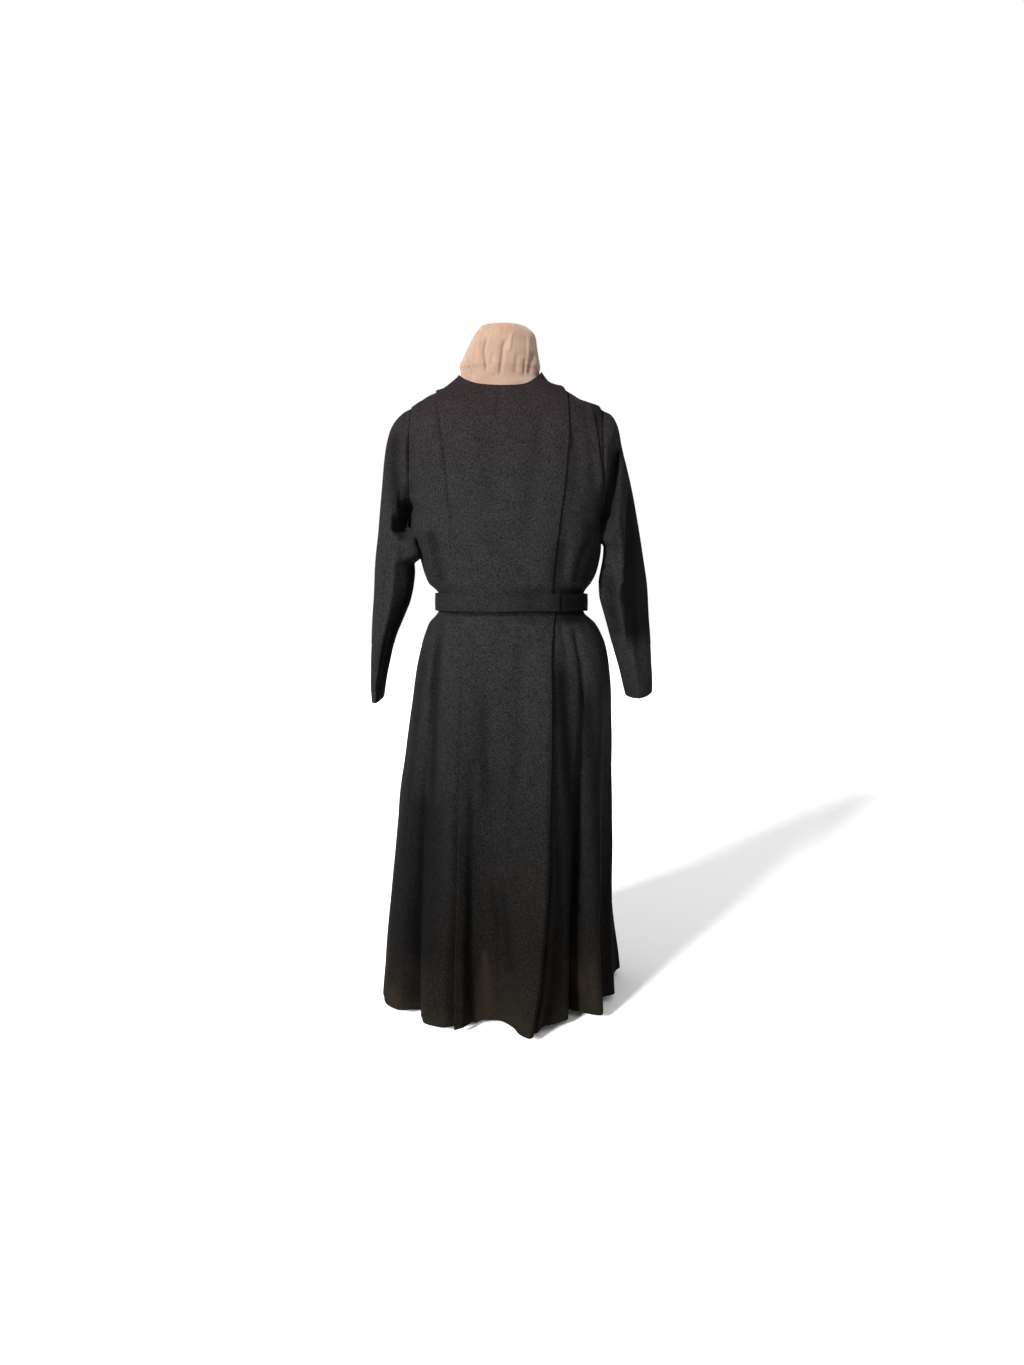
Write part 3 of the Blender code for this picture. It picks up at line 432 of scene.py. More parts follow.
def edge_bend(angle, z):
    degrees = (np.degrees(angle) + 180.0) % 360.0 - 180.0
    bend = 0.0
    for side, (start, full, still_full, end) in BEND_REACH.items():
        rising = smooth_step((degrees - start) / (full - start))
        falling = smooth_step((end - degrees) / (end - still_full))
        bend = bend + EDGE_BEND[side](z) * rising * falling
    return bend


def skirt_surface(folds, lift):
    """The skirt's outer face over one table of folds, as a function of waist angle and height."""
    turn_at, reach_at = hem_places(folds)

    def face(angle, z):
        fold = FLARE["fold"](z)
        growth = LIFT_GROWTH * smooth_step((BELT_BOTTOM_Z - z) / LIFT_GROWTH_HEIGHT) if lift else 0.0
        proud = (lift + growth) * (1.0 - fold)
        waist = bodice_base(angle, np.full_like(angle, WAIST_Z))
        turn = turn_at(angle)
        depth = np.where(np.cos(turn) >= 0.0, HEM_RING["front"], HEM_RING["back"])
        hem_x, hem_y = ring_point(
            HEM_RING["centre_x"], HEM_RING["half_width"], depth, turn, HEM_POWER
        )
        folded_x = HEM_RING["centre_x"] + (hem_x - HEM_RING["centre_x"]) * reach_at(angle)
        folded_y = hem_y * reach_at(angle)
        side_share = np.sin(angle) ** 2
        share = FLARE["front"](z) * (1.0 - side_share) + FLARE["side"](z) * side_share
        sway = FLARE["sway"](z) + edge_bend(angle, z)
        x = waist[..., 0] + (hem_x - waist[..., 0]) * share + (folded_x - hem_x) * fold
        y = waist[..., 1] + (hem_y - waist[..., 1]) * share + (folded_y - hem_y) * fold
        return points(x + np.sin(angle) * proud + sway, y - np.cos(angle) * proud, z)

    return face


def surface_normal(face, angle, z):
    around = face(angle + SMALL_TURN, z) - face(angle - SMALL_TURN, z)
    upward = face(angle, z + SMALL_RISE) - face(angle, z - SMALL_RISE)
    return unit(np.cross(around, upward))


def walk_skirt(face, angle, z, distance, steps=8):
    for _ in range(steps):
        span = face(angle + SMALL_TURN, z) - face(angle - SMALL_TURN, z)
        angle = angle + distance / steps / (np.linalg.norm(span, axis=-1) / (2.0 * SMALL_TURN))
    return angle


PANEL_LIFT = 0.0044
panel_face = skirt_surface(PANEL_FOLDS, PANEL_LIFT)
ground_face = skirt_surface(GROUND_FOLDS, 0.0)
print("skirt panel's foot:", panel_face(np.array([0.0]), np.array([HEM_Z])).round(3))

# %% [markdown]
# ## Creases placed one by one
# Cloth that hangs still has folds of two kinds: soft troughs and ridges where it is pulled, and tucks
# whose edge casts a thin shadow. Each one here is a short path with a width and a height, read off the
# photograph on the front and made up in the same spirit behind. A path is in x and z, because a crease
# is seen from the front or from behind, and these tables are in millimetres. Simulating the cloth would
# give folds too, but not these.

# %% How a crease presses into the cloth
MM = 0.001
TUCK_FALL = 0.0022
TUCK_FALL_DEPTH = 2.0
TUCK_FALL_REACH = 3.0
HOLLOW_POWER = 5
FACING_SHARPNESS = 2.0
SIDE_SHARE = 0.5
CREASE_END_SHARE = 0.22
WAVES = 14
WAVE_PACES = (0.7, 1.6)
WAVE_STRETCH = 2.5
WAVE_DIVISOR = 4.0


def along_path(x, z, path):
    """For each point: the share of the path passed, the distance from it, and on which side it is."""
    path = np.array(path, dtype=float) * MM
    lengths = np.linalg.norm(np.diff(path, axis=0), axis=1)
    best = np.full(x.shape, np.inf)
    share = np.zeros(x.shape)
    side = np.zeros(x.shape)
    passed = 0.0
    for start, end, length in zip(path, path[1:], lengths):
        run = (end - start) / length
        t = np.clip((x - start[0]) * run[0] + (z - start[1]) * run[1], 0.0, length)
        away_x = x - start[0] - run[0] * t
        away_z = z - start[1] - run[1] * t
        distance = np.hypot(away_x, away_z)
        nearer = distance < best
        best = np.where(nearer, distance, best)
        share = np.where(nearer, (passed + t) / lengths.sum(), share)
        side = np.where(nearer, np.sign(away_z * run[0] - away_x * run[1]), side)
        passed += length
    return share, best, side


def crease_profile(kind, distance, side, width):
    """The share of a crease's height at each distance from its path."""
    soft = np.exp(-((distance / width) ** 2))
    if kind == "soft":
        return soft
    if kind == "hollow":
        return 1.0 / (1.0 + (distance / width) ** HOLLOW_POWER)
    proud = side > 0.0 if kind == "tuck_left" else side < 0.0
    fallen = np.exp(-((distance / TUCK_FALL) ** 2))
    around = np.exp(-((distance / (TUCK_FALL_REACH * TUCK_FALL)) ** 2))
    return np.where(proud, soft, fallen * TUCK_FALL_DEPTH - around)


def pressed(places, normals, creases):
    """How far each point moves along its normal for all the creases that face it."""
    moved = np.zeros(places.shape[:-1])
    for faces, kind, width, height, *path in creases:
        toward = normals[..., 1] if faces == "back" else -normals[..., 1]
        toward = toward + SIDE_SHARE if faces == "front and sides" else toward
        share, distance, side = along_path(places[..., 0], places[..., 2], path)
        ends = smooth_step(share / CREASE_END_SHARE) * smooth_step((1.0 - share) / CREASE_END_SHARE)
        profile = crease_profile(kind, distance, side, width * MM)
        moved += height * MM * ends * profile * smooth_step(toward * FACING_SHARPNESS)
    return moved


def unevenness(places, height, length, seed):
    """Slow waves of many directions, longer up and down than across, as cloth is never quite even."""
    waves = np.random.default_rng(seed)
    total = np.zeros(places.shape[:-1])
    for _ in range(WAVES):
        direction = waves.normal(size=3) * (1.0, 1.0, 1.0 / WAVE_STRETCH)
        pace = 2.0 * math.pi / (length * waves.uniform(*WAVE_PACES))
        total += np.sin((places @ direction) * pace + waves.uniform(0.0, 2.0 * math.pi))
    return total * height / WAVE_DIVISOR


sample = along_path(np.array([0.0, 0.1]), np.array([1.0, 1.0]), ((50, 900), (50, 1100)))
print("distances from a path:", sample[1])

# %% [markdown]
# ## Painted shade in the folds, and painted glow near the hem
# The crepe's colour is painted darker along its folds, under the belt and over the sides turned away from
# the key light: that is painted shade. Near the hem nothing stands behind the thin cloth, so a little
# brown light would come through it in patches; that is painted as a glow in the colour. Both are painted
# on each sheet as numbers from 0 to 1 at its vertices, and the material reads them.

# %% Marks on the cloth
HEM_ALLOWANCE = 0.026
HEM_TURN_EDGE = 0.0015
# Painted glow: patches near the hem where light coming through the thin cloth is painted into its colour.
GLOWS = (
    # strength, width at its start, at its end, path: x and z, ...
    (0.6, 4, 24, (-38.5, 132), (-37, 10)),
    (0.2, 12, 30, (10, 90), (15, 10)),
    (0.65, 11, 15, (122, 100), (133, 60)),
    (0.3, 8, 12, (156, 100), (160, 30)),
    (0.75, 14, 18, (-213, 35), (-205, 10)),
    (0.55, 14, 16, (-190, 10), (-150, 10)),
    (0.25, 14, 16, (-140, 10), (-90, 10)),
    (0.2, 12, 16, (55, 20), (85, 10)),
)
# Painted shade: bands painted darker along folds, under the belt, over the belt's far end and over a
# sleeve side turned from the light.
PAINTED_SHADE_BANDS = (
    # strength, kind, width, path downwards or to the right: x and z, ...
    (0.92, "band", 15, (98.5, 700), (106, 550), (118, 400), (124, 250), (128, 130)),
    (0.7, "band", 18, (150, 640), (163, 450), (172, 300), (182, 130)),
    (0.7, "band", 32, (-150, 430), (-156, 250), (-162, 80)),
    (0.55, "band", 8, (-116, 750), (-129, 670), (-134, 550), (-136, 420), (-130, 200)),
    (0.35, "band", 8, (-148, 700), (-164, 600), (-178, 450), (-195, 250)),
    (0.92, "beyond", 100, (240, 1010), (237.6, 991), (229, 910.5), (226, 841.5), (216, 780), (235, 660)),
    (0.55, "band", 10, (195, 830), (200, 790), (206, 740), (215, 690)),
    (0.3, "band", 14, (226, 1070), (216, 960), (208, 850)),
    (0.75, "band", 12, (-169, 870), (-179, 800), (-205, 731), (-227, 680), (-242, 620)),
    (0.55, "band", 13, (-213, 1100), (-215, 1040), (-212, 980), (-207, 930)),
    (0.85, "band", 42, (128, 800), (128, 720)),
    (0.3, "band", 30, (45, 800), (45, 720)),
    (0.85, "band", 3.6, (-130, 744), (150, 744)),
    (0.7, "band", 16, (164, 930), (154, 870), (140, 790)),
    (0.5, "band", 12, (101, 890), (90, 840), (86, 790)),
    (0.45, "band", 11, (-145, 910), (-133, 850), (-118, 790)),
    (0.4, "band", 9, (-10, 260), (0, 190), (6, 120), (16.2, 45.4)),
    (0.35, "band", 6, (-80, 380), (-78, 250), (-76, 60)),
)
BAND_END_SHARE = 0.15
BEYOND_EDGE = 0.004
FRONT_BLEND = 0.05
ALLOWANCE_GLOW = 0.12
ALLOWANCE_DIMMING = 0.30


def light_through(places, front):
    """Painted glow: how much light coming through near the hem is painted into the colour, in patches, and
    in the turned-up band.
    """
    x = places[..., 0]
    z = places[..., 2]
    glow = np.zeros(z.shape)
    for strength, start_width, end_width, *path in GLOWS:
        share, distance, _ = along_path(x, z, path)
        width = (start_width + (end_width - start_width) * share) * MM
        glow = np.maximum(glow, strength * np.exp(-((distance / width) ** 2)) * front)
    in_band = 1.0 - smooth_step((z - HEM_Z - HEM_ALLOWANCE) / HEM_TURN_EDGE + 0.5)
    return np.clip(glow * (1.0 - ALLOWANCE_DIMMING * in_band) + ALLOWANCE_GLOW * in_band, 0.0, 1.0)


def painted_shade(places, front):
    """Painted shade: how much darker the colour is painted, along folds, and on a whole side of a ridge.
    """
    dark = np.zeros(places.shape[:-1])
    for strength, kind, width, *path in PAINTED_SHADE_BANDS:
        share, distance, side = along_path(places[..., 0], places[..., 2], path)
        ends = smooth_step(share / BAND_END_SHARE) * smooth_step((1.0 - share) / BAND_END_SHARE)
        shape = np.exp(-((distance / (width * MM)) ** 2))
        if kind == "beyond":
            shape = shape * smooth_step(side * distance / BEYOND_EDGE + 0.5)
        dark = np.maximum(dark, strength * ends * shape * front)
    return dark


def cloth_marks(places):
    front = smooth_step(-places[..., 1] / FRONT_BLEND + 0.5)
    return {"painted_glow": light_through(places, front), "painted_shade": painted_shade(places, front)}


sample = cloth_marks(np.array([[0.118, -0.2, 0.4]]))
print("marks in a skirt fold:", {name: values.round(2) for name, values in sample.items()})

# %% [markdown]
# ## Making a sheet
# A sheet starts as a flat grid, as cloth comes off the roll, and its vertices are then carried to
# their places on the garment. Its UV map holds metres along and up the cloth, so the crepe's grain is
# the same size everywhere and follows the cloth. Solidify gives it a wall afterwards, inwards, so the
# outer face stays where it was measured.

# %% A grid carried to its places
CLOTH_WALL = 0.0009


def arc_lengths(places):
    """Metres along each row from its middle, and up each column."""
    across = np.linalg.norm(np.diff(places, axis=1), axis=-1)
    across = np.concatenate([np.zeros((len(places), 1)), np.cumsum(across, axis=1)], axis=1)
    across -= across[:, across.shape[1] // 2, None]
    upward = np.linalg.norm(np.diff(places, axis=0), axis=-1)
    upward = np.concatenate([np.zeros((1, places.shape[1])), np.cumsum(upward, axis=0)])
    return across, upward


def carried_grid(places, missing=None):
    """A bmesh grid whose vertex in each row and column lies at that row and column of places."""
    rows, columns = places.shape[:2]
    bm = bmesh.new()
    bmesh.ops.create_grid(bm, x_segments=columns - 1, y_segments=rows - 1, size=0.5)
    bm.verts.ensure_lookup_table()
    if len(bm.verts) != rows * columns:
        raise ValueError("the grid has another number of vertices than the places")
    across, upward = arc_lengths(np.where(np.isfinite(places), places, 0.0))
    marks = [
        (bm.verts.layers.float.new(name), values.ravel())
        for name, values in cloth_marks(places).items()
    ]
    for vert, place in zip(bm.verts, places.reshape(-1, 3)):
        vert.co = place
        for layer, values in marks:
            vert[layer] = values[vert.index]
    uv = bm.loops.layers.uv.new("cloth")
    across = across.ravel()
    upward = upward.ravel()
    for face in bm.faces:
        for loop in face.loops:
            i = loop.vert.index
            loop[uv].uv = (across[i], upward[i])
    if missing is not None:
        lost = [bm.verts[i] for i in np.flatnonzero(missing.ravel())]
        bmesh.ops.delete(bm, geom=lost, context="VERTS")
    return bm


def finished(bm, name, materials=()):
    mesh = bpy.data.meshes.new(name)
    bm.to_mesh(mesh)
    bm.free()
    mesh.shade_smooth()
    for material in materials:
        mesh.materials.append(material)
    made = bpy.data.objects.new(name, mesh)
    bpy.context.scene.collection.objects.link(made)
    return made


def cloth_wall(piece, thickness=CLOTH_WALL):
    wall = piece.modifiers.new("wall", "SOLIDIFY")
    wall.thickness = thickness
    wall.offset = -1.0
    return piece


def rolled_up(places):
    """A grid whose last column is joined to its first, so that it is a tube."""
    bm = carried_grid(places)
    bm.verts.ensure_lookup_table()
    rows, width = places.shape[:2]
    joints = {bm.verts[(row + 1) * width - 1]: bm.verts[row * width] for row in range(rows)}
    bmesh.ops.weld_verts(bm, targetmap=joints)
    return bm


def capped(bm):
    """Closes the open rims and turns every face outward."""
    rims = [edge for edge in bm.edges if edge.is_boundary]
    bmesh.ops.holes_fill(bm, edges=rims, sides=0)
    bmesh.ops.recalc_face_normals(bm, faces=bm.faces)
    return bm


trial = carried_grid(np.stack(np.meshgrid([0.0, 1.0, 2.0], [0.0, 1.0], [0.0]), axis=-1)[:, :, 0])
print("a grid of 2 rows and 3 columns has", len(trial.verts), "vertices and", len(trial.faces), "faces")
trial.free()

# %% [markdown]
# ## Where each piece is creased
# The panel, the sides, the sleeves and the skirt each have their own list. The two deep hollows are
# where the empty sleeves fold against the armholes. The tucks beside the panel hang from the shoulder.
# Lists for the back repeat the same kinds of crease in other places, because cloth has them all round.

# %% Creases in the bodice and sleeves
PANEL_CREASES = (
    # faces  kind   width  height  path: x and z, ...
    ("front", "soft", 12, -5.5, (-45, 895), (-29.7, 881.2), (26, 834.8), (77.9, 784.8)),
    ("front", "soft", 9, 4, (-1.9, 844.1), (44.5, 807), (72.3, 784.8)),
    ("front", "soft", 8, -3.2, (-5.6, 1168.1), (-11.3, 1141.7), (-15, 1107.9)),
    ("front", "soft", 18, 3, (-65, 1130), (-56, 1040), (-60, 950)),
    ("front", "soft", 19, -3.8, (70, 1140), (62, 1030), (48, 920), (30, 870)),
    ("front", "soft", 14, 3, (-70, 900), (-40, 860), (-32, 800)),
    ("front", "soft", 16, -2.6, (-20, 1090), (-14, 1010), (-24, 920)),
)
SIDE_CREASES = (
    ("front", "tuck_right", 9, 3.4, (158.7, 1150.9), (164.4, 1128.2), (173.8, 1053.4), (179.5, 1009.2),
        (181.4, 958.2)),
    ("front", "tuck_left", 8, 3, (-178.7, 1117.3), (-174.9, 1085.3), (-167.4, 1033.8), (-158, 989.4),
        (-154.2, 957.4)),
    ("front", "soft", 4, -4.5, (-133, 1165), (-123.5, 1095), (-115, 1035), (-108, 975), (-100.5, 915),
        (-96, 870)),
    ("front", "soft", 7, -4.4, (-180.1, 1075.3), (-176.3, 1023.5), (-184, 954.5)),
    ("front", "soft", 10, -6, (158, 882.2), (144.8, 844.6), (129.8, 788.2)),
    ("front", "soft", 8, -5, (177.6, 882.6), (162.5, 816.4), (149.3, 784.3)),
    ("front", "soft", 8, 4, (-156, 920), (-144, 860), (-129, 795)),
    ("front", "soft", 11, -5, (-145, 900), (-133, 850), (-118, 790)),
    ("front", "soft", 13, -4, (130, 1100), (136, 1020), (133, 950)),
    ("front", "soft", 10, -4, (110, 930), (115, 870), (105, 800)),
    ("front", "soft", 10, 3, (-148, 1050), (-140, 980), (-136, 920)),
)
BACK_CREASES = (
    ("back", "soft", 12, -4.5, (150, 1100), (157, 1020), (152, 930)),
    ("back", "tuck_left", 8, 2.6, (-150, 1110), (-158, 1040), (-164, 960)),
    ("back", "soft", 15, -4, (-90, 1090), (-65, 1030), (-10, 990)),
    ("back", "soft", 13, 3.5, (90, 1070), (50, 1010), (5, 960)),
    ("back", "soft", 10, -5, (45, 890), (38, 830), (30, 785)),
    ("back", "soft", 10, -4.5, (-50, 900), (-42, 840), (-30, 785)),
    ("back", "soft", 11, -4, (115, 890), (103, 840), (95, 785)),
    ("back", "soft", 11, -4, (-125, 885), (-108, 830), (-90, 785)),
)
SLEEVE_CREASES = (
    ("front", "soft", 6, 4.5, (212, 970), (220.4, 826.2), (228, 692)),
    ("front", "soft", 12, -6, (234, 1050), (243, 960), (249, 870), (256, 760), (262, 660), (264, 600)),
    ("front", "tuck_left", 6, 3, (186, 850), (202, 832), (211, 790), (214, 740), (216, 700)),
    ("front", "soft", 4, -4, (178, 842), (190, 833), (207, 822)),
    ("front", "soft", 4, -4.5, (179, 800), (192, 787.7), (208, 770)),
    ("front", "soft", 4, -4, (182, 762), (195, 745), (210, 726)),
    ("front", "soft", 6, -4, (205, 1095), (221, 1075), (230, 1035)),
    ("front", "soft", 7, -5, (-233.8, 1017.8), (-212, 1000), (-196, 985)),
    ("front", "soft", 7, 5, (-227, 960.3), (-217, 932), (-212, 890)),
    ("front", "soft", 6, -7, (-206, 760), (-217.5, 691.5), (-232.9, 633.7), (-246.4, 581.8)),
    ("front", "soft", 9, -4, (-225, 860), (-229, 800), (-235, 740)),
    ("front", "soft", 6, 3, (-235, 880), (-240, 790), (-245, 690)),
    ("front", "soft", 7, -5, (-225, 1100), (-229, 1070), (-230, 1030)),
    ("back", "soft", 9, -6, (220, 990), (218, 900), (222, 800)),
    ("back", "soft", 6, -4.5, (185, 830), (205, 815), (235, 808)),
    ("back", "soft", 6, -4.5, (185, 790), (210, 772), (242, 770)),
    ("back", "soft", 9, -6, (-215, 1000), (-212, 900), (-218, 820)),
    ("back", "soft", 6, -4.5, (-185, 820), (-205, 805), (-235, 800)),
    ("back", "soft", 7, -5, (-230, 740), (-236, 670), (-245, 610)),
)
# What crosses an armhole moves both pieces straight to the front or back, so that the seam stays shut.
ARMHOLE_FRONT = (
    ("front", "soft", 17, 8, (186, 1120), (186, 1050), (186, 960)),
    ("front", "hollow", 9.5, -40, (213, 1085), (210, 1050), (207, 1010), (201, 955), (194, 905),
        (190, 880)),
    ("front", "soft", 17, 6, (-186, 1110), (-186, 1050), (-186, 970)),
    ("front", "soft", 9, -4.5, (-211, 1095), (-210, 1040), (-207, 980), (-204, 940)),
    ("front", "soft", 6, 3, (-195, 1090), (-192, 1030), (-186, 970)),
    ("front", "soft", 7, -4.5, (-183, 1095), (-181, 1050), (-176, 1000)),
    ("front", "hollow", 9.5, -42, (-183, 964), (-192, 940), (-203, 920), (-205, 905), (-200, 892),
        (-192, 883)),
)
ARMHOLE_BACK = (
    ("back", "soft", 17, 8, (186, 1110), (186, 1040), (186, 960)),
    ("back", "soft", 8, -16, (208, 1080), (204, 1000), (196, 920)),
    ("back", "soft", 17, 8, (-186, 1110), (-186, 1040), (-186, 960)),
    ("back", "soft", 8, -16, (-206, 1070), (-203, 990), (-196, 920)),
)
# The slack cloth under each arm is pushed in towards the body, in front of its side.
UNDERARM_RIGHT = (
    ("front and sides", "soft", 15, 16, (196, 935), (190, 900), (186, 872)),
)
UNDERARM_LEFT = (
    ("front and sides", "soft", 15, 33, (-196, 910), (-188, 878), (-184, 838)),
)
ACROSS_ARMHOLE = (((0.0, -1.0, 0.0), ARMHOLE_FRONT), ((0.0, 1.0, 0.0), ARMHOLE_BACK))
UNDER_ARMS = (((-0.65, -0.75, 0.0), UNDERARM_RIGHT), ((0.65, -0.75, 0.0), UNDERARM_LEFT))
print("creases above the waist:", len(PANEL_CREASES + SIDE_CREASES + BACK_CREASES + SLEEVE_CREASES))

# %% Creases in the skirt
SKIRT_PANEL_CREASES = (
    ("front", "soft", 6, -3.5, (-12.9, 736.9), (-1.8, 720.3), (11.1, 705.5)),
    ("front", "soft", 8, -3, (40.6, 683.4), (62.7, 690.8), (81.2, 701.8)),
    ("front", "soft", 15, -4.5, (29.4, 700), (29.4, 605), (29.4, 500), (20, 400)),
    ("front", "soft", 12, -3, (-38, 604.2), (-30, 496.4), (-23.8, 375.8)),
    ("front", "soft", 10, -6, (-24, 280), (-9, 193.1), (1.8, 122.9), (16.2, 45.4)),
    ("front", "soft", 16, 4, (-55, 640), (-56, 500), (-50, 360)),
    ("front", "soft", 13, 3.5, (5, 520), (3, 400), (0, 260)),
    ("front", "soft", 11, 3.5, (-6, 320), (6, 220), (20, 100)),
)
SKIRT_GROUND_CREASES = (
    ("front", "soft", 6, -5.5, (-118, 728), (-129, 670), (-135, 550), (-136, 420)),
    ("front", "soft", 7, -4, (-148, 700), (-160, 620), (-168, 500)),
    ("front", "soft", 8, 4, (-134, 725), (-143, 670), (-150, 580)),
    ("front", "soft", 6, -3.6, (101, 735), (108, 700), (115, 650)),
    ("front", "soft", 6, -5, (124, 735), (134, 700), (142, 650), (145, 550)),
    ("front", "soft", 11, -4, (-170, 420), (-176, 300), (-185, 180)),
    ("front", "soft", 11, 4, (150, 480), (156, 360), (162, 240)),
    ("front", "soft", 9, -5, (-115, 500), (-118, 350), (-125, 200)),
    ("back", "soft", 9, -5, (90, 730), (100, 680), (115, 600)),
    ("back", "soft", 10, -5, (10, 735), (12, 660), (15, 580)),
    ("back", "soft", 9, -5, (-70, 730), (-80, 670), (-90, 600)),
    ("back", "soft", 16, 5, (-50, 500), (-45, 380), (-60, 240)),
    ("back", "soft", 16, -5, (130, 460), (138, 340), (150, 200)),
)
print("creases below the waist:", len(SKIRT_PANEL_CREASES + SKIRT_GROUND_CREASES))


# %% Every point of a piece is moved out or in by its creases
UNEVEN_HEIGHT = 0.0009
UNEVEN_LENGTH = 0.075
UNEVEN_SEED = 11


def creased(places, normals, creases, straight=(), ease=1.0, uneven=UNEVEN_HEIGHT):
    """Moves points along their normals by one list, and along given directions by the others."""
    move = pressed(places, normals, creases)
    move = move + unevenness(places, uneven, UNEVEN_LENGTH, UNEVEN_SEED)
    moved = places + normals * (move * ease)[..., None]
    for direction, more in straight:
        moved = moved + np.array(direction) * pressed(places, normals, more)[..., None]
    return moved


# %% [markdown]
# ## The bodice
# The front panel carries both of its long edges turned under, so that they stand proud of the side
# pieces and cast the thin shadow line down each side. The side pieces are cut to run on under it, as
# they would be sewn. The turned edge is half a circle rolled round the fold, and a strip behind it.

# %% An edge turned under
TURN_RADIUS = 0.0013
TURN_STEPS = np.radians(np.linspace(22.5, 180.0, 8))
RETURN_SHARES = np.linspace(0.1, 1.0, 9)


def turned_edge(edge, normal, outward, returning):
    """Points from the edge, round the fold and back along the strip, and their outer normals."""
    centre = edge - normal * TURN_RADIUS
    made = []
    facing = []
    for turn in TURN_STEPS:
        direction = normal * math.cos(turn) + outward * math.sin(turn)
        made.append(centre + direction * TURN_RADIUS)
        facing.append(normal)
    for place, place_normal in returning:
        made.append(place - place_normal * 2.0 * TURN_RADIUS)
        facing.append(place_normal)
    return np.stack(made, axis=1), np.stack(facing, axis=1)


def joined(left, middle, right):
    return np.concatenate([left[:, ::-1], middle, right], axis=1)


print("points in a turned edge:", len(TURN_STEPS) + len(RETURN_SHARES))

# %% The bodice panel
TURN_WIDTH = 0.022
TURN_WIDTH_TOP = 0.014
TURN_NARROWING = 0.12
SINK_START = 50.0
SINK_END = 88.0
PANEL_SINK = 0.006
PANEL_COLUMNS = 101
EDGE_STRIP = 0.006
PANEL_WIDENS_FROM_Z = 1.04
SIDE_ROWS = 46
ARMHOLE_ROWS = 60
YOKE_ROWS = 26
EDGE_SEARCH_FROM = 0.3
HALVINGS = 30

armhole_middle = (UNDERARM_Z + SHOULDER_TIP_Z) / 2.0
armhole_half = (SHOULDER_TIP_Z - UNDERARM_Z) / 2.0
armhole_turn = np.linspace(0.0, math.pi, ARMHOLE_ROWS + 2)[1:-1]
LEVELS = np.concatenate([
    np.linspace(WAIST_Z, UNDERARM_Z, SIDE_ROWS),
    armhole_middle - armhole_half * np.cos(armhole_turn),
    SHOULDER_TIP_Z + np.linspace(0.0, 1.0, YOKE_ROWS),
])


def panel_edge(levels, side):
    """The front panel's edge on each row, and whether the row has passed it at the shoulder seam."""
    low = np.full_like(levels, EDGE_SEARCH_FROM)
    end = np.abs(side_end(levels, True, side, SEAM_GAP / 2.0))
    high = end.copy()

    def past(angle):
        place = bodice_face(side * angle, levels)
        return side * (place[..., 0] - PANEL_EDGE[side](place[..., 2]))

    passed = past(end) <= 0.0
    for _ in range(HALVINGS):
        middle = (low + high) / 2.0
        outside = past(middle) > 0.0
        high = np.where(outside, middle, high)
        low = np.where(outside, low, middle)
    return side * np.where(passed, end, low), passed


def turn_width(levels, angle):
    room = smooth_step((SHOULDER_TIP_Z - bodice_height(angle, levels)) / TURN_NARROWING)
    return TURN_WIDTH_TOP + (TURN_WIDTH - TURN_WIDTH_TOP) * room


def seam_meeting(side):
    """The height at which the panel's edge meets the shoulder seam."""
    heights = np.linspace(SHOULDER_TIP_Z, NECK_LEFT_Z, 400)
    reach = side * BODICE["centre_x"](heights) + BODICE["half_width"](heights)
    return heights[np.argmax(reach <= side * PANEL_EDGE[side](heights))]


def panel_rise(angle, levels, passed):
    """The panel stands proud of the sides, and sinks to the shoulder seam near the neck."""
    degrees = np.abs(np.degrees(angle))
    near = smooth_step((degrees - SINK_START) / (SINK_END - SINK_START))
    lift = np.full(np.broadcast(angle, levels).shape, PANEL_LIFT)
    for side in (-1, 1):
        seam_z = bodice_height(np.full_like(levels, side * math.pi / 2.0), levels)
        sunk = PANEL_LIFT * (1.0 - near * smooth_step((seam_z - seam_meeting(side)) / PANEL_SINK))
        lift = np.where((angle * side > 0.0) & passed[side][:, None], sunk, lift)
    return lift


def bodice_turned(levels, angle, passed, side):
    """The strip turned under at one side of the bodice panel."""
    base = bodice_face(angle, levels)
    normal = bodice_normal(angle, bodice_height(angle, levels))
    run = np.gradient(base, axis=0)
    kept = ~passed
    run[kept] = np.gradient(base[kept], axis=0)
    outward = unit(np.cross(run, normal)) * side
    width = turn_width(levels, angle)
    returning = []
    for share in RETURN_SHARES:
        inner = walk(angle, levels, -side * width * share)
        inner_normal = bodice_normal(inner, bodice_height(inner, levels))
        returning.append((bodice_face(inner, levels, PANEL_LIFT), inner_normal))
    return turned_edge(base + normal * PANEL_LIFT, normal, outward, returning)


edges = {}
passed = {}
for side in (-1, 1):
    edges[side], passed[side] = panel_edge(LEVELS, side)
panel_shares = np.linspace(0.0, 1.0, PANEL_COLUMNS)
reach = {}
for side in (-1, 1):
    first_row = np.argmax(LEVELS > PANEL_WIDENS_FROM_Z)
    last_row = np.argmax(passed[side])
    widening = smooth_step((np.arange(len(LEVELS)) - first_row) / (last_row - first_row))
    end = np.abs(side_end(LEVELS, True, side, SEAM_GAP / 2.0))
    start = np.abs(edges[side][first_row])
    reach[side] = np.maximum(np.abs(edges[side]), start + (end - start) * widening)
panel_angles = -reach[-1][:, None] + (reach[1] + reach[-1])[:, None] * panel_shares
panel_angles = np.clip(panel_angles, edges[-1][:, None], edges[1][:, None])
panel_levels = np.broadcast_to(LEVELS[:, None], panel_angles.shape)
panel_out = panel_rise(panel_angles, LEVELS[:, None], passed)
middle_places = bodice_face(panel_angles, panel_levels, panel_out)
middle_normals = bodice_normal(panel_angles, bodice_height(panel_angles, panel_levels))
strips = {side: bodice_turned(LEVELS, edges[side], passed[side], side) for side in (-1, 1)}
print("rows:", len(LEVELS), "of which pass the panel's edge:", passed[-1].sum(), passed[1].sum())

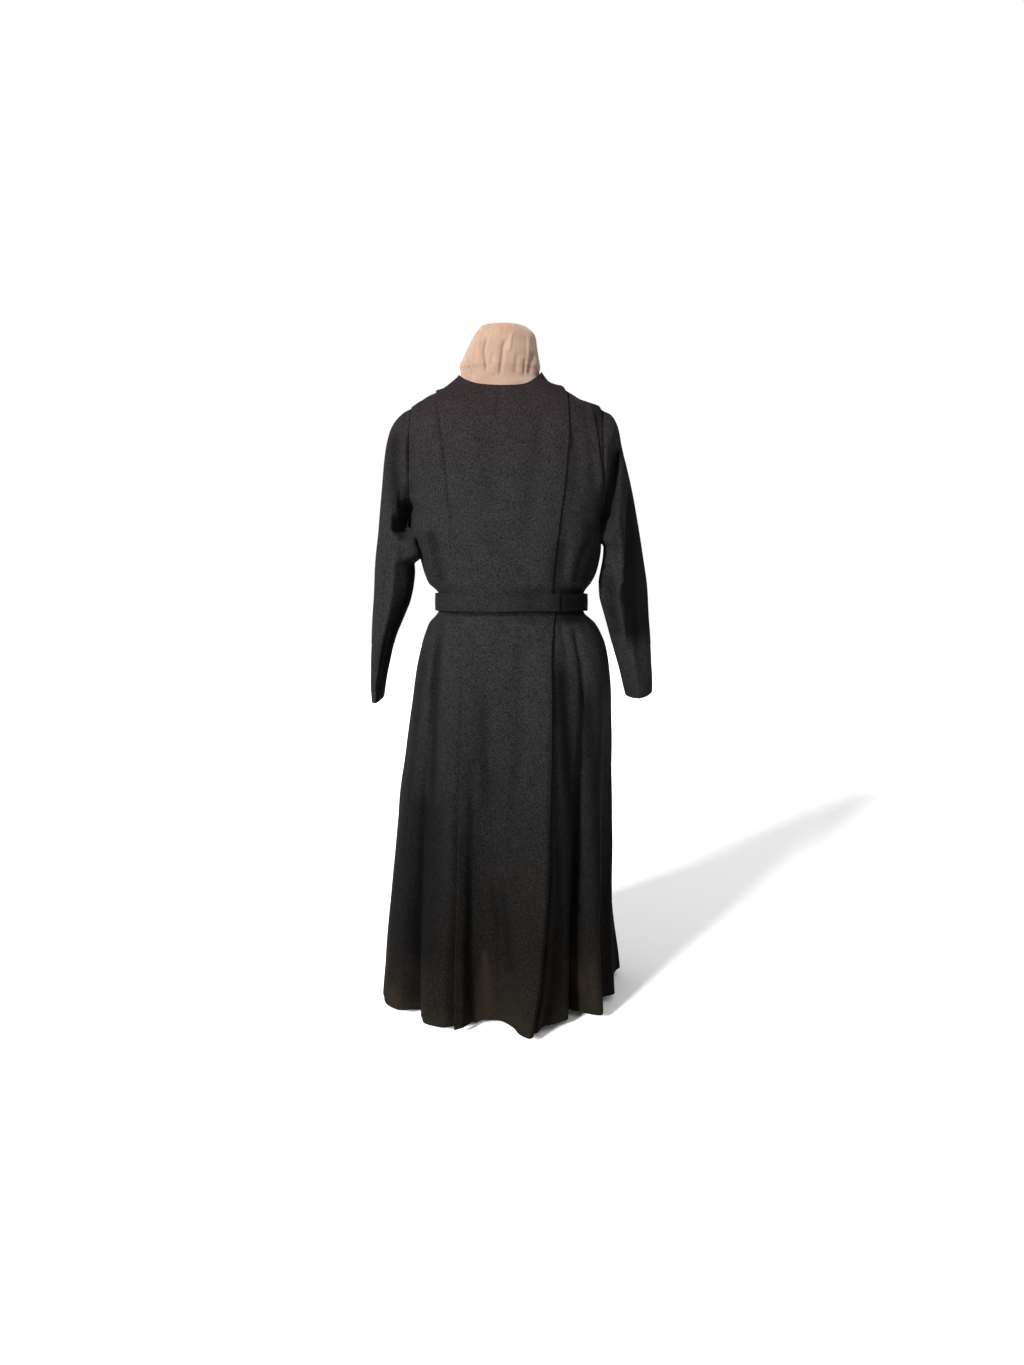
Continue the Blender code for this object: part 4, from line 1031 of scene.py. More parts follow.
# %% The bodice panel's mesh
strip_columns = len(TURN_STEPS) + len(RETURN_SHARES)
places = joined(strips[-1][0], middle_places, strips[1][0])
normals = joined(strips[-1][1], middle_normals, strips[1][1])
places = creased(places, normals, PANEL_CREASES)
missing = np.zeros(places.shape[:2], dtype=bool)
missing[passed[-1], :strip_columns] = True
missing[passed[1], -strip_columns:] = True
bm = carried_grid(places, missing)
bmesh.ops.remove_doubles(bm, verts=bm.verts, dist=0.00002)
bodice_panel = cloth_wall(finished(bm, "bodice_panel_cloth"))
print("bodice panel:", len(bodice_panel.data.polygons), "faces")

# %% The bodice's sides and back
SIDE_COLUMNS = 76
BACK_COLUMNS = 151
ROWS_UNDER_PANEL = 6
UNDER_PANEL = 0.0012
SEAM_EASE = 0.0625
UNDERLAP = 0.034

bodice_sides = {}
for side, name in ((-1, "bodice_left_cloth"), (1, "bodice_right_cloth")):
    kept = ~passed[side]
    top_row = np.argmax(passed[side])
    kept[top_row:top_row + ROWS_UNDER_PANEL] = True
    rows = LEVELS[kept]
    edge = edges[side][kept]
    end = side_end(rows, True, side, SEAM_GAP / 2.0)
    nearest = walk(end, rows, -side * EDGE_STRIP)
    edge = side * np.minimum(np.abs(edge), np.abs(nearest))
    start = walk(edge, rows, -side * UNDERLAP)
    first, last = (start, end) if side > 0 else (end, start)
    angles = first[:, None] + (last - first)[:, None] * np.linspace(0.0, 1.0, SIDE_COLUMNS)
    levels = np.broadcast_to(rows[:, None], angles.shape)
    places = bodice_face(angles, levels)
    normals = bodice_normal(angles, bodice_height(angles, levels))
    places = places - normals * (UNDER_PANEL * passed[side][kept])[:, None, None]
    ease = smooth_step(np.abs(angles - end[:, None]) / SEAM_EASE)
    places = creased(places, normals, SIDE_CREASES, ACROSS_ARMHOLE, ease)
    bodice_sides[side] = cloth_wall(finished(carried_grid(places), name))

first = side_end(LEVELS, False, 1, SEAM_GAP / 2.0)
last = 2.0 * math.pi + side_end(LEVELS, False, -1, SEAM_GAP / 2.0)
angles = first[:, None] + (last - first)[:, None] * np.linspace(0.0, 1.0, BACK_COLUMNS)
levels = np.broadcast_to(LEVELS[:, None], angles.shape)
places = bodice_face(angles, levels)
normals = bodice_normal(angles, bodice_height(angles, levels))
near_seam = np.minimum(angles - first[:, None], last[:, None] - angles)
places = creased(places, normals, BACK_CREASES, ACROSS_ARMHOLE, smooth_step(near_seam / SEAM_EASE))
bodice_back = cloth_wall(finished(carried_grid(places), "bodice_back_cloth"))
print("bodice back:", len(bodice_back.data.polygons), "faces")

# %% [markdown]
# ## The skirt
# The panel carries on down from the bodice panel, with the same turned edges. The sides and back are
# one run of folds, cut at the side seams. Round the hem the turned-up double layer is not built.

# %% The skirt's pieces
HEM_ROWS_END_Z = 0.060
YOKE_START_Z = 0.680
SKIRT_ROWS_Z = np.concatenate([
    np.linspace(HEM_Z, HEM_ROWS_END_Z, 27),
    np.linspace(HEM_ROWS_END_Z, YOKE_START_Z, 116)[1:],
    np.linspace(YOKE_START_Z, WAIST_Z - SEAM_GAP, 24)[1:],
])
SKIRT_PANEL_COLUMNS = 131


def skirt_grid(face, first, last, columns):
    """Angles between two edges, which may differ from row to row, with their places and normals."""
    shares = np.linspace(0.0, 1.0, columns)
    angles = first[:, None] + (last - first)[:, None] * shares
    z = np.broadcast_to(SKIRT_ROWS_Z[:, None], angles.shape)
    return face(angles, z), surface_normal(face, angles, z)


def skirt_turned(face, angle, side):
    angles = np.full_like(SKIRT_ROWS_Z, angle)
    normal = surface_normal(face, angles, SKIRT_ROWS_Z)
    along = face(angles + SMALL_TURN, SKIRT_ROWS_Z) - face(angles - SMALL_TURN, SKIRT_ROWS_Z)
    returning = []
    for share in RETURN_SHARES:
        inner = walk_skirt(face, angles, SKIRT_ROWS_Z, -side * TURN_WIDTH * share)
        returning.append((face(inner, SKIRT_ROWS_Z), surface_normal(face, inner, SKIRT_ROWS_Z)))
    return turned_edge(face(angles, SKIRT_ROWS_Z), normal, unit(along) * side, returning)


panel_first = math.radians(PANEL_FOLDS[0][0])
panel_last = math.radians(PANEL_FOLDS[-1][0])
full = np.full_like(SKIRT_ROWS_Z, 1.0)
middle_places, middle_normals = skirt_grid(
    panel_face, full * panel_first, full * panel_last, SKIRT_PANEL_COLUMNS
)
strips = {
    -1: skirt_turned(panel_face, panel_first, -1),
    1: skirt_turned(panel_face, panel_last, 1),
}
places = joined(strips[-1][0], middle_places, strips[1][0])
normals = joined(strips[-1][1], middle_normals, strips[1][1])
places = creased(places, normals, SKIRT_PANEL_CREASES)
skirt_panel = cloth_wall(finished(carried_grid(places), "skirt_panel_cloth"))
marked = [value.value for value in skirt_panel.data.attributes["painted_shade"].data]
print("skirt panel:", len(skirt_panel.data.polygons), "faces, darkest mark", round(max(marked), 2))

# %% The skirt's sides and back
skirt_pieces = {}
for name, start, end, columns in (
    ("skirt_right_cloth", math.radians(GROUND_FOLDS[0][0]), math.radians(RIGHT_SEAM), 131),
    ("skirt_back_cloth", math.radians(RIGHT_SEAM), math.radians(LEFT_SEAM), 231),
    ("skirt_left_cloth", math.radians(LEFT_SEAM), math.radians(GROUND_FOLDS[-1][0]), 111),
):
    first = full * start
    last = full * end
    if name != "skirt_right_cloth":
        first = walk_skirt(ground_face, first, SKIRT_ROWS_Z, SEAM_GAP / 2.0)
    if name != "skirt_left_cloth":
        last = walk_skirt(ground_face, last, SKIRT_ROWS_Z, -SEAM_GAP / 2.0)
    places, normals = skirt_grid(ground_face, first, last, columns)
    places = creased(places, normals, SKIRT_GROUND_CREASES)
    skirt_pieces[name] = cloth_wall(finished(carried_grid(places), name))
    print(name, len(skirt_pieces[name].data.polygons), "faces")

# %% [markdown]
# ## The sleeves
# Each sleeve is one piece of cloth seamed into a tube, empty, so it is flat-sided and folds where it
# meets the armhole. Its sections run from the armhole, which stands upright, to the level cuff.

# %% The sleeves
SLEEVE_COLUMNS = 104
SLEEVE_ROWS = 170
SLEEVE_LENGTH = 0.56
SLEEVE_RIDGE = 0.44
SLEEVE_FOLDED = {1: 0.50, -1: 0.35}
SLEEVE_FOLD_FROM = 0.06
SLEEVE_EASE = 0.018



def sleeve_face(side, turn, folded):
    """Oval sections from the cuff up to the armhole, each with its front folded towards one ridge."""
    sections = SLEEVE_SECTIONS[side]
    along = np.linspace(len(sections) - 1.0, 0.0, SLEEVE_ROWS)[:, None]
    columns = (smooth_curve(range(len(sections)), column)(along) for column in zip(*sections))
    outer_x, outer_z, inner_x, inner_z, depth, middle_y, lean = columns
    x = side * ((outer_x + inner_x) / 2.0 - (outer_x - inner_x) / 2.0 * np.cos(turn))
    round_out = np.sin(turn) * side
    z = (outer_z + inner_z) / 2.0 - (outer_z - inner_z) / 2.0 * np.cos(turn) - lean * round_out
    across = (1.0 - np.cos(turn)) / 2.0
    ridge = np.minimum(across / SLEEVE_RIDGE, (1.0 - across) / (1.0 - SLEEVE_RIDGE))
    round_out = np.where(round_out > 0.0, round_out + (ridge - round_out) * folded, round_out)
    return points(x, middle_y - depth * round_out, z)


sleeves = {}
for side, name in ((1, "sleeve_right_cloth"), (-1, "sleeve_left_cloth")):
    turn = 2.0 * math.pi * np.linspace(0.0, 1.0, SLEEVE_COLUMNS + 1)[None, :] * side
    from_armhole = np.linspace(SLEEVE_LENGTH, 0.0, SLEEVE_ROWS)[:, None]
    folded = SLEEVE_FOLDED[side] * smooth_step((from_armhole - SLEEVE_FOLD_FROM) / SLEEVE_FOLD_FROM)
    places = sleeve_face(side, turn, folded)
    around = sleeve_face(side, turn + SMALL_TURN, folded) - sleeve_face(side, turn - SMALL_TURN, folded)
    upward = np.gradient(places, axis=0)
    normals = unit(np.cross(around, upward))
    ease = smooth_step(from_armhole / SLEEVE_EASE)
    places[-1, :, 0] = side * ARMHOLE_X
    places = creased(places, normals, SLEEVE_CREASES, ACROSS_ARMHOLE + UNDER_ARMS, ease)
    sleeves[side] = cloth_wall(finished(rolled_up(places), name))
    print(name, len(sleeves[side].data.polygons), "faces")

# %% [markdown]
# ## The belt
# A stitched belt is a strip with its long edges folded in, so its section is flat with round edges,
# about 2.5 mm thick. It is swept round the waist over the panels, and its outer end laps over the
# inner one just right of the middle.

# %% The belt
BELT_HEIGHT = 0.033
BELT_WALL = 0.0025
BELT_CLEAR = 0.0007
BELT_INNER_END = 12.0
BELT_RISE_START = 342.0
BELT_RISE_END = 368.0
BELT_OUTER_END = 394.0
BELT_STEPS = 360
BELT_STITCH_FROM_EDGE = 0.0050
BELT_MIDDLE_Z = BELT_BOTTOM_Z + BELT_HEIGHT / 2.0
HALF_FLAT_POINTS = 17
EDGE_TURN_POINTS = 9
STITCH_PULL_WIDTH = 0.0011
STITCH_PULL_DEPTH = 0.00045
BELT_PUFF = 0.0003
BELT_PUFF_REACH = 0.0115
BELT_WAVER = ((0.0005, 3.0, 0.6), (0.0003, 7.0, 0.0))


def belt_section():
    """Round the belt's section from the middle of its back: how far out and how high each point is."""
    radius = BELT_WALL / 2.0
    half = HALF_FLAT_POINTS
    flat = np.linspace(radius - BELT_HEIGHT / 2.0, BELT_HEIGHT / 2.0 - radius, 2 * half)
    turn = np.linspace(0.0, math.pi, EDGE_TURN_POINTS)[1:-1]
    top_out = BELT_WALL / 2.0 - radius * np.cos(turn)
    top_up = flat[-1] + radius * np.sin(turn)
    front = np.full(2 * half, BELT_WALL)
    out = np.concatenate([np.zeros(half), top_out, front, top_out[::-1], np.zeros(half + 1)])
    up = np.concatenate([flat[half:], top_up, flat[::-1], -top_up[::-1], flat[:half + 1]])
    return out, up


section_out, section_up = belt_section()
front_share = smooth_step(section_out / BELT_WALL * 2.0 - 1.0)
from_edge = BELT_HEIGHT / 2.0 - np.abs(section_up)
pulled = np.exp(-(((from_edge - BELT_STITCH_FROM_EDGE) / STITCH_PULL_WIDTH) ** 2))
level = np.sin(np.clip((np.abs(section_up) / BELT_PUFF_REACH), 0.0, 1.0) * math.pi / 2.0)
section_out = section_out + front_share * (-STITCH_PULL_DEPTH * pulled + BELT_PUFF * (1.0 - level))
belt_angle = np.radians(np.linspace(BELT_INNER_END, BELT_OUTER_END, BELT_STEPS))[None, :]
belt_rise = (np.degrees(belt_angle) - BELT_RISE_START) / (BELT_RISE_END - BELT_RISE_START)
belt_rise = smooth_step(belt_rise)
belt_out = PANEL_LIFT + BELT_CLEAR + (BELT_WALL + SEAM_GAP) * belt_rise
waist_z = np.full_like(belt_angle, WAIST_Z)
belt_line = bodice_base(belt_angle, waist_z)
belt_normal = bodice_normal(belt_angle, waist_z)
places = belt_line + belt_normal * (belt_out + section_out[:, None])[..., None]
places[..., 2] = BELT_MIDDLE_Z + section_up[:, None]
waver = sum(height * np.sin(belt_angle * count + start) for height, count, start in BELT_WAVER)
places[..., 2] += waver
bm = carried_grid(places)
bm.verts.ensure_lookup_table()
last_row = (len(section_out) - 1) * BELT_STEPS
bmesh.ops.weld_verts(bm, targetmap={bm.verts[last_row + i]: bm.verts[i] for i in range(BELT_STEPS)})
belt = finished(capped(bm), "belt_cloth")
print("belt:", len(belt.data.polygons), "faces")

# %% [markdown]
# ## The belt's topstitching
# A lockstitch of black thread runs 5 mm inside each long edge and holds the folded edges down. Each
# stitch is a short bead of thread that lies in the furrow it has pulled. They are one shape repeated
# some hundreds of times, so each has only twenty faces, and all of them are one mesh.

# %% The belt's stitches
STITCH_PITCH = 0.0034
STITCH_LENGTH = 0.0027
STITCH_WIDTH = 0.0007
STITCH_SUNK = 0.0003

line_out = belt_out[0] + BELT_WALL - STITCH_SUNK
line_places = belt_line[0] + belt_normal[0] * line_out[:, None]
line_steps = np.linalg.norm(np.diff(line_places[:, :2], axis=0), axis=1)
line_lengths = np.concatenate([[0.0], np.cumsum(line_steps)])
stitch_at = np.arange(STITCH_PITCH, line_lengths[-1] - STITCH_PITCH, STITCH_PITCH)
stitch_x = np.interp(stitch_at, line_lengths, line_places[:, 0])
stitch_y = np.interp(stitch_at, line_lengths, line_places[:, 1])
stitch_waver = np.interp(stitch_at, line_lengths, waver[0])
stitch_turn = np.arctan2(np.gradient(stitch_y), np.gradient(stitch_x))
bm = bmesh.new()
line_height = BELT_HEIGHT / 2.0 - BELT_STITCH_FROM_EDGE
for height in (line_height, -line_height):
    for x, y, rise, turn in zip(stitch_x, stitch_y, stitch_waver, stitch_turn):
        lay = (
            Matrix.Translation((x, y, BELT_MIDDLE_Z + height + rise))
            @ Matrix.Rotation(turn, 4, "Z")
            @ Matrix.Diagonal((STITCH_LENGTH, STITCH_WIDTH, STITCH_WIDTH, 1.0))
        )
        bmesh.ops.create_icosphere(bm, subdivisions=1, radius=0.5, matrix=lay)
belt_stitches = finished(bm, "belt_stitches")
print("stitches:", 2 * len(stitch_at), "with", len(belt_stitches.data.polygons), "faces")

# %% [markdown]
# ## The dress form
# The form is a padded body covered in beige jersey. Only its neck shows, where the jersey is gathered
# over the top and falls in small upright folds. Below the neckline the body keeps just inside the
# cloth. Its pole and base keep the CAD solids, and only get better paint.

# %% The form's body
FORM_RINGS = (
    # z      centre_x half_width front  back
    (0.5000, 0.0040, 0.1320, 0.0940, 0.0920),
    (0.5070, 0.0040, 0.1430, 0.1030, 0.1010),
    (0.5300, 0.0040, 0.1510, 0.1090, 0.1070),
    (0.5900, 0.0060, 0.1550, 0.1130, 0.1110),
    (0.6600, 0.0080, 0.1490, 0.1090, 0.1040),
    (0.7200, 0.0100, 0.1330, 0.1010, 0.0900),
    (0.7650, 0.0106, 0.1260, 0.0960, 0.0830),
    (0.8100, 0.0100, 0.1310, 0.0980, 0.0860),
    (0.8700, 0.0050, 0.1430, 0.1030, 0.0950),
    (0.9400, 0.0000, 0.1520, 0.1070, 0.1030),
    (1.0100, 0.0000, 0.1570, 0.1070, 0.1060),
    (1.0600, 0.0000, 0.1610, 0.1040, 0.1040),
    (1.1000, 0.0000, 0.1650, 0.0980, 0.0980),
    (1.1330, -0.0010, 0.1680, 0.0880, 0.0880),
    (1.1500, -0.0060, 0.1560, 0.0840, 0.0840),
    (1.1640, -0.0065, 0.1340, 0.0780, 0.0785),
    (1.1780, -0.0080, 0.1100, 0.0700, 0.0710),
    (1.1900, -0.0110, 0.0900, 0.0620, 0.0630),
    (1.2000, -0.0125, 0.0800, 0.0560, 0.0575),
    (1.2060, -0.0115, 0.0775, 0.0550, 0.0560),
    (1.2150, -0.0118, 0.0770, 0.0550, 0.0560),
    (1.2230, -0.0120, 0.0790, 0.0560, 0.0565),
    (1.2450, -0.0090, 0.0725, 0.0540, 0.0540),
    (1.2650, -0.0060, 0.0665, 0.0500, 0.0500),
    (1.2850, -0.0028, 0.0595, 0.0455, 0.0455),
    (1.2970, -0.0030, 0.0500, 0.0395, 0.0395),
    (1.3040, -0.0055, 0.0410, 0.0325, 0.0325),
    (1.3065, -0.0065, 0.0250, 0.0200, 0.0200),
    (1.3070, -0.0070, 0.0020, 0.0020, 0.0020),
)
NECK_CREASES = (
    # faces  kind   width  height  path: x and z, ...
    ("front", "soft", 2.8, -4.2, (-34.5, 1279.5), (-38.9, 1268), (-42.8, 1248), (-41.4, 1235),
        (-37, 1203)),
    ("front", "soft", 3.4, -5, (1.3, 1275), (-5.2, 1256), (-8.2, 1227), (-11.9, 1191.5)),
    ("front", "soft", 2.6, -3, (36.6, 1235), (36, 1225), (35, 1195)),
    ("front", "soft", 5, -3.6, (54.2, 1250), (49, 1222), (44, 1195)),
    ("front", "soft", 4.4, -1.8, (-25.9, 1245), (-28.7, 1215)),
    ("front", "soft", 3.6, -3.2, (-74.9, 1235), (-70, 1215), (-62, 1190)),
    ("front", "soft", 3, -2.4, (-23, 1205), (-21.5, 1185)),
    ("front", "soft", 3.6, 2.4, (12, 1285), (8, 1260), (5, 1240)),
    ("front", "soft", 5, -1.8, (24.1, 1245), (15.3, 1195)),
    ("front", "soft", 4, 2, (-50, 1290), (-53, 1260), (-52, 1220)),
    ("front", "soft", 3.4, 1.8, (44, 1285), (44, 1260), (42, 1225)),
    ("back", "soft", 3.4, -4, (-30, 1285), (-34, 1250), (-31, 1210)),
    ("back", "soft", 3, -3.5, (5, 1280), (2, 1250), (6, 1205)),
    ("back", "soft", 4, -3.8, (38, 1270), (42, 1240), (38, 1205)),
)
FORM_COLUMNS = 320
FORM_POWER = 2.15
NECK_ROWS_FROM_Z = 1.150
TOP_ROWS_FROM_Z = 1.297
TOP_ROWS_HEIGHT = 0.010
NECK_GATHERS = ((23.0, 1.5, 5.0, 0.00015), (41.0, 2.0, 3.0, 0.00012))
NECK_BOTTOM_Z = 1.190
NECK_BOTTOM_BLEND = 0.020
NECK_TOP_Z = 1.3068
NECK_TOP_BLEND = 0.006
NECK_UNEVEN_HEIGHT = 0.0006

form_curve = curves(FORM_RINGS, ("centre_x", "half_width", "front", "back"))
form_z = np.concatenate([
    np.linspace(FORM_RINGS[0][0], NECK_ROWS_FROM_Z, 66),
    np.linspace(NECK_ROWS_FROM_Z, TOP_ROWS_FROM_Z, 100)[1:],
    FORM_RINGS[-1][0] - TOP_ROWS_HEIGHT * (np.linspace(1.0, 0.0, 20)[1:]) ** 2,
])[:, None]
form_angle = 2.0 * math.pi * np.linspace(0.0, 1.0, FORM_COLUMNS + 1)[None, :]
form_depth = np.where(np.cos(form_angle) >= 0.0, form_curve["front"](form_z), form_curve["back"](form_z))
form_x, form_y = ring_point(
    form_curve["centre_x"](form_z), form_curve["half_width"](form_z), form_depth, form_angle, FORM_POWER
)
places = points(form_x, form_y, form_z)
around = np.gradient(places, axis=1)
normals = unit(np.cross(around, np.gradient(places, axis=0)))
gather = sum(
    np.sin(form_angle * count + swing * np.sin(form_angle * slow)) * height
    for count, swing, slow, height in NECK_GATHERS
)
in_neck = smooth_step((form_z - NECK_BOTTOM_Z) / NECK_BOTTOM_BLEND)
in_neck = in_neck * smooth_step((NECK_TOP_Z - form_z) / NECK_TOP_BLEND)
places = creased(places, normals, NECK_CREASES, (), in_neck, NECK_UNEVEN_HEIGHT)
places = places + normals * (gather * in_neck)[..., None]
form_body = finished(capped(rolled_up(places)), "form_jersey_body")
print("form:", len(form_body.data.polygons), "faces")

# %% [markdown]
# ## Materials
# Colours are given as they look in the photograph, as sRGB hex, and turned into the linear values that
# the renderer works with. The crepe is dyed polyester: nearly black, matt and slightly pebbled, so its
# grain is a fine bump and a fine speckle, and it has hardly any gloss. Its colour is painted darker the
# lower it hangs, as painted shade, warmer on the shoulders, and lighter and browner at the hem, as painted
# light coming through. The marks on the sheets add painted shade in its folds and a painted glow near the
# hem.

# %% Colours and a helper
GRAIN_SIZE = 0.0011
# Painted shade: the crepe's colour ramp runs over this height and is darker lower down.
SHADE_RAMP_HEIGHT = 1.22
JERSEY_RIB = 0.0012
WAVE_SCALE = 0.314
PEBBLES_PER_METRE = 430.0
SLUBS_PER_METRE = 160.0
MOTTLES_PER_METRE = 24.0


def colour(hex_digits):
    """sRGB hex digits as linear red, green, blue and alpha."""
    channels = [int(hex_digits[i:i + 2], 16) / 255.0 for i in (0, 2, 4)]
    linear = [c / 12.92 if c <= 0.04045 else ((c + 0.055) / 1.055) ** 2.4 for c in channels]
    return (*linear, 1.0)


def add_node(material, kind, inputs=None, **settings):
    """A shader node; an input given as another node's output is linked, any other value is set."""
    node = material.node_tree.nodes.new(kind)
    for name, value in settings.items():
        setattr(node, name, value)
    for name, value in (inputs or {}).items():
        if isinstance(value, bpy.types.NodeSocket):
            material.node_tree.links.new(value, node.inputs[name])
        else:
            node.inputs[name].default_value = value
    return node


def new_material(name):
    made = bpy.data.materials.new(name)
    made.use_nodes = True
    made.node_tree.nodes.clear()
    return made


def ramp(material, factor, stops):
    """A colour ramp through (place, hex) stops."""
    node = add_node(material, "ShaderNodeValToRGB", {"Fac": factor})
    elements = node.color_ramp.elements
    elements[0].position, elements[1].position = stops[0][0], stops[-1][0]
    elements[0].color, elements[1].color = colour(stops[0][1]), colour(stops[-1][1])
    for place, digits in stops[1:-1]:
        elements.new(place).color = colour(digits)
    return node.outputs["Color"]


print("near black in linear light:", colour("343233"))

# %% Black crepe


def black_crepe(name, stops, roughness, sheen):
    """Crepe: colour by height, painted darker lower down; speckled; painted shade and glow where marked;
    grain and slubs as a bump.
    """
    made = new_material(name)
    place = add_node(made, "ShaderNodeTexCoord").outputs["Object"]
    height = add_node(made, "ShaderNodeSeparateXYZ", {"Vector": place}).outputs["Z"]
    level = add_node(made, "ShaderNodeMath", {0: height, 1: SHADE_RAMP_HEIGHT}, operation="DIVIDE")
    dye_and_painted_shade = ramp(made, level.outputs["Value"], stops)
    mottle = add_node(made, "ShaderNodeTexNoise", {
        "Vector": place, "Scale": MOTTLES_PER_METRE, "Detail": 5.0,
    })
    shade = add_node(made, "ShaderNodeMapRange", {
        "Value": mottle.outputs["Fac"], "From Min": 0.3, "From Max": 0.7, "To Min": 0.95, "To Max": 1.05,
    })
    dyed = add_node(made, "ShaderNodeVectorMath", {
        0: dye_and_painted_shade, "Scale": shade.outputs["Result"],
    }, operation="SCALE")
    pebble = add_node(made, "ShaderNodeTexNoise", {
        "Vector": place, "Scale": PEBBLES_PER_METRE, "Detail": 1.0,
    })
    speck = add_node(made, "ShaderNodeMapRange", {
        "Value": pebble.outputs["Fac"], "From Min": 0.35, "From Max": 0.65, "To Min": 0.50, "To Max": 1.50,
    })
    dyed = add_node(made, "ShaderNodeVectorMath", {
        0: dyed.outputs["Vector"], "Scale": speck.outputs["Result"],
    }, operation="SCALE")
    on_cloth = add_node(made, "ShaderNodeUVMap", uv_map="cloth").outputs["UV"]
    grain = add_node(made, "ShaderNodeTexNoise", {
        "Vector": on_cloth, "Scale": 1.0 / GRAIN_SIZE, "Detail": 3.0, "Roughness": 0.6,
    })
    slub = add_node(made, "ShaderNodeTexNoise", {"Vector": place, "Scale": SLUBS_PER_METRE, "Detail": 3.0})
    fine = add_node(made, "ShaderNodeBump", {
        "Height": grain.outputs["Fac"], "Strength": 0.5, "Distance": 0.0006,
    })
    bump = add_node(made, "ShaderNodeBump", {
        "Height": slub.outputs["Fac"], "Strength": 0.4, "Distance": 0.0010,
        "Normal": fine.outputs["Normal"],
    })
    # Painted shade and painted glow: the marked folds are mixed towards near black, the marked hem patches
    # towards brown.
    dark = add_node(made, "ShaderNodeAttribute", attribute_name="painted_shade").outputs["Fac"]
    deep = add_node(made, "ShaderNodeMix", {
        "Factor": dark, "A": dyed.outputs["Vector"], "B": colour("020203"),
    }, data_type="RGBA")
    painted_glow_mask = add_node(made, "ShaderNodeAttribute", attribute_name="painted_glow").outputs["Fac"]
    lit = add_node(made, "ShaderNodeMix", {
        "Factor": painted_glow_mask, "A": deep.outputs["Result"], "B": colour("16110C"),
    }, data_type="RGBA")
    shader = add_node(made, "ShaderNodeBsdfPrincipled", {
        "Base Color": lit.outputs["Result"],
        "Roughness": roughness,
        "Specular IOR Level": 0.015,
        "Sheen Weight": sheen,
        "Sheen Roughness": 0.5,
        "Normal": bump.outputs["Normal"],
    })
    add_node(made, "ShaderNodeOutputMaterial", {"Surface": shader.outputs["BSDF"]})
    return made


# Painted shade: darker the lower the crepe hangs, darkest just above the hem; the hem is a little lighter
# and browner, painted light coming through, and the shoulders a little warmer.
crepe = black_crepe("black_polyester_crepe", (
    (0.00, "0B0A08"), (0.13, "080706"), (0.34, "0D0D0D"),
    (0.55, "131313"), (0.80, "141414"), (1.00, "161112"),
), 0.92, 0.003)
belt_crepe = black_crepe("belt_crepe", ((0.0, "111111"), (1.0, "111111")), 0.85, 0.003)
for piece in (bodice_panel, bodice_back, skirt_panel, *bodice_sides.values(), *sleeves.values()):
    piece.data.materials.append(crepe)
for piece in skirt_pieces.values():
    piece.data.materials.append(crepe)
belt.data.materials.append(belt_crepe)
thread = new_material("black_spun_thread")
place = add_node(thread, "ShaderNodeTexCoord").outputs["Object"]
twist = add_node(thread, "ShaderNodeTexNoise", {"Vector": place, "Scale": 1800.0, "Detail": 1.0})
spun = ramp(thread, twist.outputs["Fac"], ((0.30, "080809"), (0.70, "101011")))
shader = add_node(thread, "ShaderNodeBsdfPrincipled", {
    "Base Color": spun, "Roughness": 0.75, "Specular IOR Level": 0.05,
})
add_node(thread, "ShaderNodeOutputMaterial", {"Surface": shader.outputs["BSDF"]})
belt_stitches.data.materials.append(thread)
print("crepe nodes:", len(crepe.node_tree.nodes))

# %% Beige jersey
jersey = new_material("beige_cotton_jersey")
place = add_node(jersey, "ShaderNodeTexCoord").outputs["Object"]
on_cloth = add_node(jersey, "ShaderNodeUVMap", uv_map="cloth").outputs["UV"]
patchy = add_node(jersey, "ShaderNodeTexNoise", {"Vector": place, "Scale": 30.0, "Detail": 4.0})
tint = ramp(jersey, patchy.outputs["Fac"], ((0.30, "5F4B3E"), (0.70, "685445")))
rib = add_node(jersey, "ShaderNodeTexWave", {
    "Vector": on_cloth, "Scale": WAVE_SCALE / JERSEY_RIB, "Distortion": 1.2, "Detail": 2.0,
}, bands_direction="X")
knit = add_node(jersey, "ShaderNodeBump", {
    "Height": rib.outputs["Fac"], "Strength": 0.25, "Distance": 0.0004,
})
shader = add_node(jersey, "ShaderNodeBsdfPrincipled", {
    "Base Color": tint, "Roughness": 0.85, "Specular IOR Level": 0.3, "Sheen Weight": 0.15,
    "Subsurface Weight": 0.5, "Subsurface Scale": 0.02,
    "Subsurface Radius": (1.0, 0.6, 0.45), "Normal": knit.outputs["Normal"],
})
add_node(jersey, "ShaderNodeOutputMaterial", {"Surface": shader.outputs["BSDF"]})
form_body.data.materials.append(jersey)
print("jersey nodes:", len(jersey.node_tree.nodes))

# %% Painted steel for the pole and the base
steel = new_material("painted_steel")
place = add_node(steel, "ShaderNodeTexCoord").outputs["Object"]
speckle = add_node(steel, "ShaderNodeTexNoise", {"Vector": place, "Scale": 900.0, "Detail": 2.0})
worn = add_node(steel, "ShaderNodeTexNoise", {"Vector": place, "Scale": 14.0, "Detail": 5.0})
paint = ramp(steel, worn.outputs["Fac"], ((0.35, "2B2B2C"), (0.65, "343435")))
coat = add_node(steel, "ShaderNodeBump", {
    "Height": speckle.outputs["Fac"], "Strength": 0.2, "Distance": 0.0003,
})
shader = add_node(steel, "ShaderNodeBsdfPrincipled", {
    "Base Color": paint, "Metallic": 0.0, "Roughness": 0.45, "Normal": coat.outputs["Normal"],
})
add_node(steel, "ShaderNodeOutputMaterial", {"Surface": shader.outputs["BSDF"]})
for name in ("form_pole", "form_base"):
    for slot in bpy.data.objects[name].material_slots:
        slot.material = steel

# %% [markdown]
# ## Floor and light
# The photograph is a cut-out studio picture: a white floor that runs into a white wall, light from
# everywhere and one soft light in front, to the upper left. Its shadow falls back to the right.

